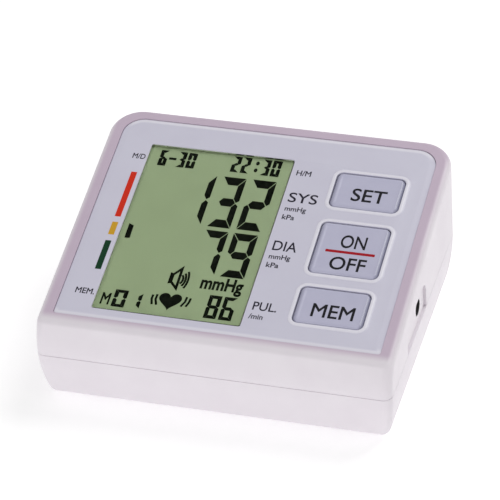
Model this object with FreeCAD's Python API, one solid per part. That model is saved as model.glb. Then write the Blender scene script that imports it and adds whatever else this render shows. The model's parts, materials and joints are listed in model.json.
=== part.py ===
import FreeCAD, Part

import math
import os

from FreeCAD import Placement, Rotation, Vector

os.makedirs("parts", exist_ok=True)

# Desktop upper-arm blood pressure monitor: the wedge-shaped main unit.
# World frame: +X to the user's right, -Y towards the user, +Z up, floor at z = 0,
# origin under the middle of the case. The sloping top has its own frame: x across,
# s up the slope from the front rim edge, n out of the top. All sizes in millimetres.

# ---------------------------------------------------------------- case
WIDTH = 132.0             # across the rim
RIM_LENGTH = 110.0        # rim, front edge to rear edge, along the slope
SLOPE = 11.3              # tilt of the top, degrees
FRONT_HEIGHT = 34.6       # floor to the front rim edge
NOSE = 3.5                # how far the front swells out below the rim
PARTING = 21.5            # floor to the joint between the two half cases
FOOT_HEIGHT = 1.2         # rubber feet below the case
SEAM = 0.25               # the lower half is this much smaller just below the joint
SIDE_SWELL = 0.9          # the side walls stand this far outside the rim's flat top
SIDE_INSET = 2.6          # base narrower than the side walls, each side
FRONT_INSET = 3.2         # base behind the nose
REAR_INSET = 2.5          # base ahead of the rear wall
FRONT_CORNER = 3.5        # plan radius of the front corners
REAR_CORNER = 12.0        # plan radius of the rear corners
RIM_ROUND = 2.4           # soft edge along the rim
BASE_ROUND = 4.0          # soft edge along the base
WALL = 2.4                # moulded wall
ROOF = 3.4                # sloping roof, which the panel is let into
TONGUE = 1.0              # thickness of the tongue that locates the halves
TONGUE_HEIGHT = 1.5
FIT = 0.15                # gap round pieces that sit in each other
RUNNING = 0.3             # gap between pieces that slide past each other
SOFT_CORNER = 0.4         # corners of small moulded parts and of glass

# ---------------------------------------------------------------- front panel
PANEL_SIDE = 4.7          # rim to panel, left and right
PANEL_FRONT = 5.0         # rim to panel, at the front
PANEL_REAR = 5.4          # rim to panel, at the rear
PANEL_THICK = 1.2
PANEL_DROP = 0.2          # panel face below the rim
PANEL_BEVEL = 1.4         # width of the sloping edge round the panel
PANEL_REAR_CORNER = 8.0
PANEL_FRONT_CORNER = 1.2
KEY_RIM = 1.9             # width of the soft rim moulded round each key
KEY_RIM_RISE = 0.45

# ---------------------------------------------------------------- display
VIEW_X = -19.95           # middle of the viewing window
VIEW_S = 51.0
VIEW_WIDTH = 56.1
VIEW_LENGTH = 82.4
VIEW_CORNER = 0.8
LENS_THICK = 1.1          # part of the lens that fills the window
LENS_FLANGE = 0.5
LENS_BORDER = 2.4         # flange of the lens behind the panel
GLASS_THICK = 1.1         # each of the two display glasses
REFLECTOR_THICK = 0.5
HOLDER_WALL = 1.6
ZEBRA_WIDTH = 1.8

# ---------------------------------------------------------------- keys
KEY_X = 39.2
SET_S, SET_LENGTH = 80.0, 17.2
POWER_S, POWER_LENGTH = 51.2, 25.0
MEMORY_S, MEMORY_LENGTH = 23.3, 17.2
KEY_WIDTH = 26.2
KEY_CORNER = 2.4
KEY_GAP = 0.2             # between a key and its opening in the panel
KEY_RISE = 0.6            # key top above the panel face
KEY_CROWN = 0.6           # the cap falls this far from its flat middle to its edge
KEY_SLOPE = 1.8           # width of the sloping border of the cap
KEY_FLANGE = 1.0          # lip behind the panel that keeps the key in
KEY_FLANGE_THICK = 1.0
STEM_RADIUS = 2.2         # stem from a key down to its switch
SWITCH_SIZE = 6.0
SWITCH_HEIGHT = 3.6
SWITCH_FLOOR = 0.6
PLUNGER_RADIUS = 1.7
PLUNGER_RISE = 1.1
PLUNGER_GAP = 0.08

# ---------------------------------------------------------------- main board
BOARD_DEPTH = 11.2        # board top below the rim plane
BOARD_THICK = 1.6
BOARD_HALF_WIDTH = 59.5
BOARD_FRONT = 5.5
BOARD_REAR = 99.0
BOARD_CORNER = 4.0
BOARD_CLEAR = 1.0         # notches round the posts and the power jack
BOARD_BOSS_RADIUS = 2.6
BOARD_SCREW_RADIUS = 1.1
BOARD_SCREW_BITE = 4.5
BOARD_HEAD_RADIUS = 2.1
BOARD_HEAD_THICK = 1.2
BOARD_BOSSES = [(-56.2, 22.0), (-56.2, 84.0), (18.2, 12.0), (18.2, 92.0), (56.8, 22.0), (56.8, 84.0)]

# ---------------------------------------------------------------- parts under the board (x, s)
CHIP = (26.0, 58.0)
CHIP_SIZE = 14.0
CHIP_THICK = 1.6
SMALL_CHIP_SIZE = (5.0, 4.0)
SMALL_CHIP_THICK = 1.4
SMALL_CHIPS = [(26.0, 38.0), (6.0, 62.0), (6.0, 48.0)]
BUZZER = (40.0, 19.0)
BUZZER_RADIUS = 6.0
BUZZER_HEIGHT = 5.5
BUZZER_HOLE = 1.0
BUZZER_ROOM = 2.0         # solid part of the buzzer next to the board
CAPACITOR = (44.0, 58.0)  # first of three in a row up the slope
CAPACITOR_PITCH = 8.5
CAPACITOR_RADIUS = 3.15
CAPACITOR_HEIGHT = 7.0
SENSOR_SIZE = 8.0
SENSOR_HEIGHT = 3.2
SENSOR_PORT = 3.0
SENSOR_RISE = 0.6         # bend of the sensor's tube above the manifold's nipple

# ---------------------------------------------------------------- case screws and feet
POST_RADIUS = 3.6
SCREW_RADIUS = 1.5
SCREW_HEAD_RADIUS = 2.8
SCREW_HEAD_THICK = 2.0
SCREW_SINK = 10.0         # depth of the screw wells in the base
SCREW_BITE = 7.5          # screws above the parting
PILOT_SPARE = 1.5         # pilot holes run on past the screw tips
POST_X = 56.3
FRONT_POST_SETBACK = 9.0
REAR_POST_SETBACK = 12.5
FOOT_RADIUS = 4.5
FOOT_SEAT = 1.0
FRONT_FOOT_STEP = 11.5    # front foot beside its screw
REAR_FOOT_STEP = (5.0, 11.0)

# ---------------------------------------------------------------- batteries (four LR6 cells)
CELL_RADIUS = 7.1
CELL_BODY = 49.0
CELL_TIP = 1.4
CELL_TIP_RADIUS = 2.7
CELL_GAP = 0.6            # between neighbouring cells
CELL_PITCH = 2 * CELL_RADIUS + CELL_GAP
BAY_X = 8.0               # middle of the battery bay
BAY_WALL = 1.6
CONTACT_ROOM = 3.4        # between a cell's end and the bay wall
CONTACT_THICK = 0.5
CONTACT_WIDTH = 6.0
CONTACT_REACH = 4.5       # contact strips above and below a cell's axis
CONTACT_FOLD = 1.4
LEAF_REACH = 1.2
COVER_THICK = 2.2
COVER_MARGIN = 3.0        # cover beyond the bay, front and sides
COVER_LIP = 7.5           # height of the cover's part of the rear wall
COVER_TONGUE = 1.4
COVER_TONGUE_THICK = 1.0
GRIPS = 6
GRIP_PITCH = 2.0
GRIP_RADIUS = 0.5
GRIP_LENGTH = 18.0

# ---------------------------------------------------------------- sockets in the side walls
SOCKET_SETBACK = 43.2     # power jack behind the front rim edge
SOCKET_HEIGHT = 27.6
JACK_HOLE_RADIUS = 3.3
JACK_BORE_RADIUS = 2.9
JACK_BORE_LENGTH = 9.5
JACK_BODY = (12.0, 9.0, 9.6)
JACK_PIN_RADIUS = 1.0
JACK_PIN_SINK = 1.2       # pin tip behind the mouth
RECESS_LENGTH = 29.6
RECESS_HEIGHT = 12.0
RECESS_DEPTH = 1.0
RECESS_CORNER = 5.0
RECESS_LEAD = 5.4         # recess reaches further forward of the jack than behind it
HOSE_SETBACK = 74.2       # hose socket behind the front rim edge
HOSE_HEIGHT = 31.4
HOSE_BORE_RADIUS = 2.3
HOSE_BORE_LENGTH = 9.0
HOSE_BODY_RADIUS = 3.9
HOSE_FLANGE_RADIUS = 5.2
HOSE_FLANGE_THICK = 1.6
HOSE_WEB = 2.0            # solid end of the sleeve behind the bore

# ---------------------------------------------------------------- pump
PUMP_X = -43.0
MOTOR_RADIUS = 10.0
MOTOR_LENGTH = 26.0
MOTOR_REAR = 28.0         # y of the can's rear end
MOTOR_SKIN = 0.9
CAP_LENGTH = 4.0
CAP_END = 1.2
CAP_SKIN = 1.4
CAP_HUB_RADIUS = 2.6
SHAFT_RADIUS = 1.0
SHAFT_NOSE = 4.0          # shaft ahead of the motor can
BEARING_GAP = 0.05
ROTOR_RADIUS = 7.2
ROTOR_LENGTH = 12.0
POLES = 3
POLE_SLOT = 2.0           # width of the slots between the poles
POLE_ROOT = 3.2           # how near the shaft those slots reach
COMMUTATOR_RADIUS = 2.2
MAGNET_THICK = 1.5
MAGNET_INSET = 5.0        # magnets in from both ends of the can
MAGNET_SPLIT = 8.0
HEAD_RADIUS = 12.0
HEAD_WALL = 1.6
COLLAR_RADIUS = 4.6       # opening in the crank housing for the crank
CRANK_LENGTH = 12.0
CRANK_GAP = 1.0
CRANK_RADIUS = 4.0
CRANK_THICK = 3.5
CRANK_THROW = 1.2
CRANK_PIN_RADIUS = 1.0
CRANK_PIN_LENGTH = 3.5
ROCKER_THICK = 1.6
ROCKER_GAP = 1.2
ROCKER_SKIN = 1.3         # wall round the crank pin's socket
ROCKER_LAP = 2.5          # how far the crank pin enters that socket
DIAPHRAGM_THICK = 2.4
CUP_CIRCLE = 6.4
CUP_RADIUS = 3.6
CUP_SKIN = 0.8
VALVE_PLATE = 5.0
VALVE_ROOM = 2.0
MOUNT_RING = 1.4
CRADLE_THICK = 3.0

# ---------------------------------------------------------------- valve, manifold and tubes
NIPPLE_RADIUS = 1.6
NIPPLE_BORE = 0.8
NIPPLE_LENGTH = 5.0
TUBE_WALL = 1.0
TUBE_BEND = 6.0
TUBE_BARE = 1.0           # root of a nipple that its tube leaves bare
HOSE_TUBE_DROP = 8.0      # slope of the hose socket's tube beside the battery bay
MANIFOLD = (9.0, 9.0, 8.0)
MANIFOLD_X = -17.0
VALVE_BODY = (13.0, 13.0, 11.5)
VALVE_X, VALVE_Y = 8.0, -30.0
YOKE_THICK = 1.4
COIL_RADIUS = 5.0
COIL_GAP = 0.06
COIL_CORE_RADIUS = 3.1
VALVE_PLUNGER_RADIUS = 2.2
VALVE_PLUNGER_LENGTH = 8.4
VALVE_TRAVEL = 0.8
SEAT_THICK = 5.6
SEAT_GAP = 1.6            # open part of the cup under the yoke
SEAL_THICK = 1.2
SPRING_RADIUS = 1.5
SPRING_WIRE = 0.4
CORE_END = 0.5            # solid end of the core above the spring
VENT = 2.0                # width of the slot that lets the air out of the seat
VENT_LAND = 0.8           # rim of the seat's cup above the vent

# ---------------------------------------------------------------- derived frame
TILT = math.radians(SLOPE)
DEPTH = NOSE + RIM_LENGTH * math.cos(TILT)
Y_NOSE = -DEPTH / 2
Y_REAR = DEPTH / 2
Y_RIM = Y_NOSE + NOSE
RIM_HALF = WIDTH / 2
HALF = RIM_HALF + SIDE_SWELL
BASE = FOOT_HEIGHT
FLOOR = BASE + WALL
FAR = 4 * WIDTH           # longer than anything in the case

SLOPE_FRAME = Placement(Vector(0, Y_RIM, FRONT_HEIGHT), Rotation(Vector(1, 0, 0), SLOPE))


def on_slope(shape):
    """Carry a shape from the sloping top's own frame into the world."""
    placed = shape.copy()
    placed.Placement = SLOPE_FRAME.multiply(placed.Placement)
    return placed


def save(shape, node):
    """Write one node; a group of separate solids becomes one compound."""
    shape = shape.removeSplitter() if shape.ShapeType != "Compound" else shape
    assert shape.isValid(), node
    shape.exportStep("parts/%s.step" % node)
    print("%-24s %2d solid(s) %9.1f mm3" % (node, len(shape.Solids), shape.Volume))


# ---------------------------------------------------------------- small builders
def block(x0, x1, y0, y1, z0, z1):
    return Part.makeBox(x1 - x0, y1 - y0, z1 - z0, Vector(x0, y0, z0))


def rod(radius, start, end):
    """A solid cylinder from one point to another."""
    run = end.sub(start)
    return Part.makeCylinder(radius, run.Length, start, run)


def crossways(radius, x0, x1, y, z):
    """A solid cylinder that lies along X."""
    return rod(radius, Vector(x0, y, z), Vector(x1, y, z))


def pipe(outer, inner, start, end):
    """A hollow cylinder from one point to another."""
    return rod(outer, start, end).cut(rod(inner, start, end))


def line(a, b):
    return Part.LineSegment(a, b).toShape()


def arc(a, m, b):
    return Part.Arc(a, m, b).toShape()


def outline(x0, x1, y0, y1, z, front, rear):
    """A rectangle with one radius for the two front corners and one for the rear pair."""
    corners = [
        (x0 + front, y0 + front, front, 180),
        (x1 - front, y0 + front, front, 270),
        (x1 - rear, y1 - rear, rear, 0),
        (x0 + rear, y1 - rear, rear, 90),
    ]
    bends = []
    for x, y, radius, start in corners:
        points = []
        for angle in (start, start + 45, start + 90):
            a = math.radians(angle)
            points.append(Vector(x + radius * math.cos(a), y + radius * math.sin(a), z))
        bends.append(points)
    edges = []
    for bend, following in zip(bends, bends[1:] + bends[:1]):
        edges.append(arc(*bend))
        edges.append(line(bend[2], following[0]))
    return Part.Wire(edges)


def plate(x0, x1, y0, y1, z0, z1, front, rear=None):
    """A flat plate with rounded corners."""
    rear = front if rear is None else rear
    face = Part.Face(outline(x0, x1, y0, y1, z0, front, rear))
    return face.extrude(Vector(0, 0, z1 - z0))


def taper(x0, x1, y0, y1, z0, z1, front, rear, inset):
    """A plate whose edge slopes in by inset from z0 to z1."""
    low = outline(x0, x1, y0, y1, z0, front, rear)
    high_front = max(front - inset, SOFT_CORNER)
    high_rear = max(rear - inset, SOFT_CORNER)
    high = outline(x0 + inset, x1 - inset, y0 + inset, y1 - inset, z1, high_front, high_rear)
    return Part.makeLoft([low, high], True, True)


def centred(x, s, width, length):
    """The four limits of a rectangle about a middle point."""
    return x - width / 2, x + width / 2, s - length / 2, s + length / 2


def middle_of(limits):
    x0, x1, y0, y1 = limits
    return (x0 + x1) / 2, (y0 + y1) / 2


def grown(limits, margin):
    x0, x1, y0, y1 = limits
    return x0 - margin, x1 + margin, y0 - margin, y1 + margin


def extruded(edges, direction):
    """Extrude the face inside a closed row of edges."""
    return Part.Face(Part.Wire(edges)).extrude(direction)


def bulge_radius(rise, inset):
    """Radius of an arc that starts upright and has moved in by inset after rise."""
    return (inset ** 2 + rise ** 2) / (2 * inset)


# ---------------------------------------------------------------- case blank
RISE = PARTING - BASE
SIDE_ARC = bulge_radius(RISE, SIDE_INSET)
FRONT_LOW_ARC = bulge_radius(RISE, FRONT_INSET)
REAR_LOW_ARC = bulge_radius(RISE, REAR_INSET)
FRONT_HIGH_ARC = bulge_radius(FRONT_HEIGHT - PARTING, NOSE)
MANIFOLD_Y, MANIFOLD_Z = VALVE_Y, FLOOR + MANIFOLD[2] / 2


def roof_height(y, roof):
    return FRONT_HEIGHT + (y - Y_RIM) * math.tan(TILT) - roof / math.cos(TILT)


def roof_meets_front(inset, roof):
    """Where the front arc, moved in by inset, meets the roof, lowered by roof."""
    centre = Y_NOSE + FRONT_HIGH_ARC
    radius = FRONT_HIGH_ARC - inset
    slope = math.tan(TILT)
    drop = roof_height(centre, roof) - PARTING
    a = 1 + slope ** 2
    b = 2 * slope * drop
    c = drop ** 2 - radius ** 2
    y = centre + (-b - math.sqrt(b ** 2 - 4 * a * c)) / (2 * a)
    return y, roof_height(y, roof)


def blank(inset=0.0, roof=0.0, floor=0.0):
    """The closed outer form of the case, or the same form moved in by a wall.

    It is the side profile run across the case, cut to the front profile run along it,
    with the upright corners rounded in plan.
    """
    z_low = BASE + floor
    z_mid = (z_low + PARTING) / 2

    def bowed(edge, big, z):
        """Position of a bowed wall: edge is its widest place, big its arc's radius."""
        side = math.copysign(1, edge)
        middle = edge - side * big
        return middle + side * math.sqrt((big - inset) ** 2 - (z - PARTING) ** 2)

    y_front, z_front = roof_meets_front(inset, roof)
    z_lift = (PARTING + z_front) / 2
    y_lift = bowed(Y_NOSE, FRONT_HIGH_ARC, z_lift)

    def side(y, z):
        return Vector(-FAR / 2, y, z)

    front_low = [side(bowed(Y_NOSE, FRONT_LOW_ARC, z), z) for z in (PARTING, z_mid, z_low)]
    rear_low = [side(bowed(Y_REAR, REAR_LOW_ARC, z), z) for z in (z_low, z_mid, PARTING)]
    rear_top = side(Y_REAR - inset, roof_height(Y_REAR - inset, roof))
    front_top = side(y_front, z_front)
    along = extruded([
        arc(*front_low),
        line(front_low[2], rear_low[0]),
        arc(*rear_low),
        line(rear_low[2], rear_top),
        line(rear_top, front_top),
        arc(front_top, side(y_lift, z_lift), front_low[0]),
    ], Vector(FAR, 0, 0))

    def end(x, z):
        return Vector(x, -FAR / 2, z)

    right = [end(bowed(HALF, SIDE_ARC, z), z) for z in (z_low, z_mid, PARTING)]
    left = [end(bowed(-HALF, SIDE_ARC, z), z) for z in (PARTING, z_mid, z_low)]
    high = FRONT_HEIGHT + RIM_LENGTH
    across = extruded([
        arc(*right),
        line(right[2], end(right[2].x, high)),
        line(end(right[2].x, high), end(left[0].x, high)),
        line(end(left[0].x, high), left[0]),
        arc(*left),
        line(left[2], right[0]),
    ], Vector(0, FAR, 0))

    form = along.common(across)
    for is_front, radius in ((True, FRONT_CORNER - inset), (False, REAR_CORNER - inset)):
        upright = []
        for edge in form.Edges:
            box = edge.BoundBox
            at_corner = abs(edge.CenterOfMass.x) > HALF - 2 * SIDE_INSET - inset
            narrow = box.XLength < 2 * SIDE_INSET and box.YLength < 2 * NOSE
            if at_corner and narrow and (edge.CenterOfMass.y < 0) == is_front:
                upright.append(edge)
        form = form.makeFillet(radius, upright)
    return form


def edges_on_roof(shape):
    found = []
    for edge in shape.Edges:
        on_top = [abs(v.Z - roof_height(v.Y, 0)) < 0.01 for v in edge.Vertexes]
        if all(on_top):
            found.append(edge)
    return found


def edges_at_height(shape, z):
    return [e for e in shape.Edges if abs(e.BoundBox.ZMin - z) < 0.01 and abs(e.BoundBox.ZMax - z) < 0.01]


OUTER = blank()
OUTER = OUTER.makeFillet(RIM_ROUND, edges_on_roof(OUTER))
OUTER = OUTER.makeFillet(BASE_ROUND, edges_at_height(OUTER, BASE))
INNER = blank(WALL, ROOF, WALL)
SHELL = OUTER.cut(INNER)
ABOVE = block(-FAR, FAR, -FAR, FAR, PARTING, FAR)
BELOW = block(-FAR, FAR, -FAR, FAR, -FAR, PARTING)

# ---------------------------------------------------------------- places that several pieces share
PANEL = (PANEL_SIDE - RIM_HALF, RIM_HALF - PANEL_SIDE, PANEL_FRONT, RIM_LENGTH - PANEL_REAR)
PANEL_TOP = -PANEL_DROP
PANEL_BACK = PANEL_TOP - PANEL_THICK
VIEW = centred(VIEW_X, VIEW_S, VIEW_WIDTH, VIEW_LENGTH)
LENS_TOP = PANEL_BACK + LENS_THICK
LENS_BACK = PANEL_BACK - LENS_FLANGE
GLASS_TOP = LENS_BACK - FIT
GLASS_STEP = GLASS_TOP - GLASS_THICK
GLASS_BACK = GLASS_STEP - GLASS_THICK
REFLECTOR_BACK = GLASS_BACK - REFLECTOR_THICK
BOARD_TOP = -BOARD_DEPTH
BOARD_BACK = BOARD_TOP - BOARD_THICK
KEYS = {
    "set": centred(KEY_X, SET_S, KEY_WIDTH, SET_LENGTH),
    "power": centred(KEY_X, POWER_S, KEY_WIDTH, POWER_LENGTH),
    "memory": centred(KEY_X, MEMORY_S, KEY_WIDTH, MEMORY_LENGTH),
}
KEY_TOP = PANEL_TOP + KEY_RISE
FLANGE_TOP = PANEL_BACK - FIT
FLANGE_BACK = FLANGE_TOP - KEY_FLANGE_THICK
SWITCH_TOP = BOARD_TOP + SWITCH_HEIGHT
PLUNGER_TOP = SWITCH_TOP + PLUNGER_RISE
POSTS = [
    (-POST_X, Y_RIM + FRONT_POST_SETBACK), (POST_X, Y_RIM + FRONT_POST_SETBACK),
    (-POST_X, Y_REAR - REAR_POST_SETBACK), (POST_X, Y_REAR - REAR_POST_SETBACK),
]
JACK_Y = Y_RIM + SOCKET_SETBACK
HOSE_Y = Y_RIM + HOSE_SETBACK
HOSE_FACE = -HALF + WALL


def slope_point(x, s, n):
    return SLOPE_FRAME.multVec(Vector(x, s, n))


def posts(radius, z0, z1):
    return [rod(radius, Vector(x, y, z0), Vector(x, y, z1)) for x, y in POSTS]


# ---------------------------------------------------------------- top case
def make_top_case():
    """Upper half: rim, panel seat, sockets, board bosses and screw posts."""
    case = SHELL.common(ABOVE)
    seat = plate(*grown(PANEL, FIT), PANEL_BACK, RIM_LENGTH, PANEL_FRONT_CORNER, PANEL_REAR_CORNER)
    openings = [seat, plate(*grown(VIEW, LENS_BORDER + FIT), -2 * ROOF, 0, VIEW_CORNER)]
    for limits in KEYS.values():
        openings.append(plate(*grown(limits, KEY_FLANGE + RUNNING), -2 * ROOF, 0, KEY_CORNER))
    case = case.cut([on_slope(opening) for opening in openings])

    # board bosses hang from the roof, screw posts come down to the parting
    bosses = []
    pilots = []
    pilot_end = BOARD_TOP + BOARD_SCREW_BITE + PILOT_SPARE
    for x, s in BOARD_BOSSES:
        boss = rod(BOARD_BOSS_RADIUS, Vector(x, s, BOARD_TOP), Vector(x, s, FIT - ROOF))
        pilot = rod(BOARD_SCREW_RADIUS, Vector(x, s, BOARD_TOP), Vector(x, s, pilot_end))
        bosses.append(on_slope(boss))
        pilots.append(on_slope(pilot))
    under_roof = blank(WALL / 2, ROOF / 2, WALL / 2)
    for post in posts(POST_RADIUS, PARTING, FAR):
        bosses.append(post.common(under_roof))
    pilots.extend(posts(SCREW_RADIUS, PARTING, PARTING + SCREW_BITE + PILOT_SPARE))
    case = case.fuse(bosses).cut(pilots)

    # groove that the lower half's tongue enters
    groove_top = PARTING + TONGUE_HEIGHT + FIT
    low_slice = block(-FAR, FAR, -FAR, FAR, PARTING - 1, groove_top)
    groove = blank(WALL - TONGUE - FIT, ROOF, WALL).common(low_slice)
    case = case.cut(groove.cut(posts(POST_RADIUS, PARTING - 1, groove_top)))

    # shallow finger recess round the power jack, and the two side holes
    y_front = JACK_Y - RECESS_LENGTH / 2 - RECESS_LEAD
    recess = plate(
        PARTING - RECESS_HEIGHT, PARTING + RECESS_HEIGHT, y_front, y_front + RECESS_LENGTH,
        0, RECESS_DEPTH + 1, RECESS_CORNER,
    )
    recess.Placement = Placement(Vector(HALF + 1, 0, 0), Rotation(Vector(0, 1, 0), -90))
    jack_hole = crossways(JACK_HOLE_RADIUS, HALF - 2 * WALL, FAR, JACK_Y, SOCKET_HEIGHT)
    hose_hole = crossways(HOSE_BODY_RADIUS + FIT, -FAR, HOSE_FACE + WALL, HOSE_Y, HOSE_HEIGHT)
    return case.cut([recess, jack_hole, hose_hole])


# ---------------------------------------------------------------- battery bay
BAY_HALF = 2 * CELL_PITCH + FIT
BAY_LENGTH = CELL_BODY + CELL_TIP + 2 * CONTACT_ROOM
BAY_REAR = Y_REAR - REAR_INSET - 2 * WALL
BAY_FRONT = BAY_REAR - BAY_LENGTH
CELL_Z = BASE + COVER_THICK + RUNNING + CELL_RADIUS
BAY_TOP = CELL_Z + CELL_RADIUS + FIT
COVER = (BAY_X - BAY_HALF - COVER_MARGIN, BAY_X + BAY_HALF + COVER_MARGIN, BAY_FRONT - COVER_MARGIN, FAR)
TONGUE_Z = BASE + COVER_THICK - COVER_TONGUE_THICK


def cover_zone(gap):
    """Space of the battery cover: its plate, its lip in the rear wall and its side tongues."""
    x0, x1, y0, y1 = COVER
    sheet = block(x0 - gap, x1 + gap, y0 - gap, y1, -FAR, BASE + COVER_THICK + gap)
    lip_front = BAY_REAR + BAY_WALL + FIT
    lip = block(x0 - gap, x1 + gap, lip_front, y1, BASE, BASE + COVER_LIP + gap)
    tongues = block(
        x0 - COVER_TONGUE - gap, x1 + COVER_TONGUE + gap, y0 - gap, y1,
        TONGUE_Z - gap, BASE + COVER_THICK + gap,
    )
    return sheet.fuse([lip, tongues])


def make_bottom_case():
    """Lower half: base, battery bay, screw posts, pump cradle and jack shelf."""
    case = SHELL.common(BELOW)
    band = block(-FAR, FAR, -FAR, FAR, PARTING - TONGUE_HEIGHT, PARTING + TONGUE_HEIGHT)
    tongue = blank(WALL - TONGUE, ROOF, WALL).cut(INNER).common(band)
    tongue = tongue.cut(posts(POST_RADIUS + FIT, PARTING, PARTING + FAR))
    inside = blank(WALL / 2, ROOF, WALL / 2)

    additions = []
    bay = block(
        BAY_X - BAY_HALF - BAY_WALL, BAY_X + BAY_HALF + BAY_WALL,
        BAY_FRONT - BAY_WALL, BAY_REAR + BAY_WALL, BASE + COVER_THICK + FIT, BAY_TOP + BAY_WALL,
    )
    additions.append(bay)
    additions.extend(posts(POST_RADIUS, BASE, PARTING))
    for y in CRADLES:
        rib_front, rib_rear = y - CRADLE_THICK / 2, y + CRADLE_THICK / 2
        rib = block(PUMP_X - HEAD_RADIUS, PUMP_X + HEAD_RADIUS, rib_front, rib_rear, BASE, PUMP_Z)
        additions.append(rib)
    shelf_x = HALF - WALL - JACK_BODY[0]
    shelf_top = SOCKET_HEIGHT - JACK_BODY[2] / 2
    half_jack = JACK_BODY[1] / 2
    for y in (JACK_Y - half_jack, JACK_Y + half_jack - WALL):
        additions.append(block(shelf_x, HALF - WALL - FIT, y, y + WALL, BASE, shelf_top))
    case = case.fuse([tongue] + [part.common(inside) for part in additions])

    cuts = [block(BAY_X - BAY_HALF, BAY_X + BAY_HALF, BAY_FRONT, BAY_REAR, -FAR, BAY_TOP)]
    seam_slice = block(-FAR, FAR, -FAR, FAR, PARTING - SEAM, PARTING + SEAM)
    cuts.append(seam_slice.cut(blank(SEAM)))
    cuts.append(cover_zone(RUNNING / 2))
    cuts.extend(posts(SCREW_HEAD_RADIUS + FIT, -1, BASE + SCREW_SINK))
    cuts.extend(posts(SCREW_RADIUS + FIT, -1, PARTING + 1))
    for x, y in FEET:
        cuts.append(rod(FOOT_RADIUS + FIT, Vector(x, y, -1), Vector(x, y, BASE + FOOT_SEAT)))
    for y in CRADLES:
        cuts.append(on_pump(y - CRADLE_THICK, y + CRADLE_THICK, MOTOR_RADIUS + MOUNT_RING + FIT))
    return case.cut(cuts)


def make_battery_cover():
    """Sliding cover: its plate and lip are cut from the case's own outer form."""
    skin = OUTER.common(cover_zone(0))
    skin = skin.cut(block(-FAR, FAR, -FAR, BAY_REAR + BAY_WALL + FIT, BASE + COVER_THICK, FAR))
    grips = []
    for i in range(GRIPS):
        y = Y_REAR - REAR_INSET - 2 * BASE_ROUND - GRIP_PITCH * i
        grips.append(crossways(GRIP_RADIUS, BAY_X - GRIP_LENGTH / 2, BAY_X + GRIP_LENGTH / 2, y, BASE))
    return skin.cut(grips)


FEET = []
for x, y in POSTS:
    if y < 0:
        FEET.append((x - math.copysign(FRONT_FOOT_STEP, x), y))
    else:
        FEET.append((x - math.copysign(REAR_FOOT_STEP[0], x), y - REAR_FOOT_STEP[1]))

PUMP_Z = FLOOR + RUNNING + HEAD_RADIUS
MOTOR_FRONT = MOTOR_REAR - MOTOR_LENGTH
CRADLES = (MOTOR_REAR - MOTOR_LENGTH / 5, MOTOR_REAR - MOTOR_LENGTH * 3 / 4)


# ---------------------------------------------------------------- panel, lens and keys
def make_front_panel():
    """Inlaid panel with a bevelled edge, the viewing window and a soft rim round each key."""
    flat_top = PANEL_TOP - PANEL_BEVEL / 2
    body = plate(*PANEL, PANEL_BACK, flat_top, PANEL_FRONT_CORNER, PANEL_REAR_CORNER)
    edge = taper(*PANEL, flat_top, PANEL_TOP, PANEL_FRONT_CORNER, PANEL_REAR_CORNER, PANEL_BEVEL)
    body = body.fuse(edge)
    for limits in KEYS.values():
        ring = grown(limits, KEY_RIM)
        corner = KEY_CORNER + KEY_RIM
        body = body.fuse(taper(*ring, PANEL_TOP, PANEL_TOP + KEY_RIM_RISE, corner, corner, KEY_RIM / 2))
    cuts = [plate(*grown(VIEW, FIT), PANEL_BACK - 1, 1, VIEW_CORNER)]
    for limits in KEYS.values():
        cuts.append(plate(*grown(limits, KEY_GAP), PANEL_BACK - 1, 2, KEY_CORNER + KEY_GAP))
    return on_slope(body.cut(cuts))


def make_lens():
    """Clear window: a raised part that fills the opening and a flange behind the panel."""
    front = plate(*VIEW, PANEL_BACK, LENS_TOP, VIEW_CORNER)
    flange = plate(*grown(VIEW, LENS_BORDER), LENS_BACK, PANEL_BACK, VIEW_CORNER + LENS_BORDER)
    return on_slope(front.fuse(flange))


def make_key(limits):
    """One key: cushion-shaped cap, retaining flange and a stem to its switch."""
    shoulder = KEY_TOP - KEY_CROWN
    cap = plate(*limits, FLANGE_TOP, shoulder, KEY_CORNER)
    crown = taper(*limits, shoulder, KEY_TOP, KEY_CORNER, KEY_CORNER, KEY_SLOPE)
    flange = plate(*grown(limits, KEY_FLANGE), FLANGE_BACK, FLANGE_TOP, KEY_CORNER)
    x, s = middle_of(limits)
    stem = rod(STEM_RADIUS, Vector(x, s, PLUNGER_TOP), Vector(x, s, FLANGE_BACK))
    return on_slope(cap.fuse([crown, flange, stem]))


def make_plunger(limits):
    x, s = middle_of(limits)
    low = Vector(x, s, SWITCH_TOP - PLUNGER_RISE)
    return on_slope(rod(PLUNGER_RADIUS, low, Vector(x, s, PLUNGER_TOP)))


def make_switch_bodies():
    """Square switch bodies soldered to the board, one under each key."""
    bodies = []
    for limits in KEYS.values():
        x, s = middle_of(limits)
        body = plate(*centred(x, s, SWITCH_SIZE, SWITCH_SIZE), BOARD_TOP, SWITCH_TOP, SOFT_CORNER)
        floor = Vector(x, s, BOARD_TOP + SWITCH_FLOOR)
        well = rod(PLUNGER_RADIUS + PLUNGER_GAP, floor, Vector(x, s, SWITCH_TOP + 1))
        bodies.append(on_slope(body.cut(well)))
    return Part.makeCompound(bodies)


# ---------------------------------------------------------------- display stack
GLASS = grown(VIEW, LENS_BORDER - FIT)


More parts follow.
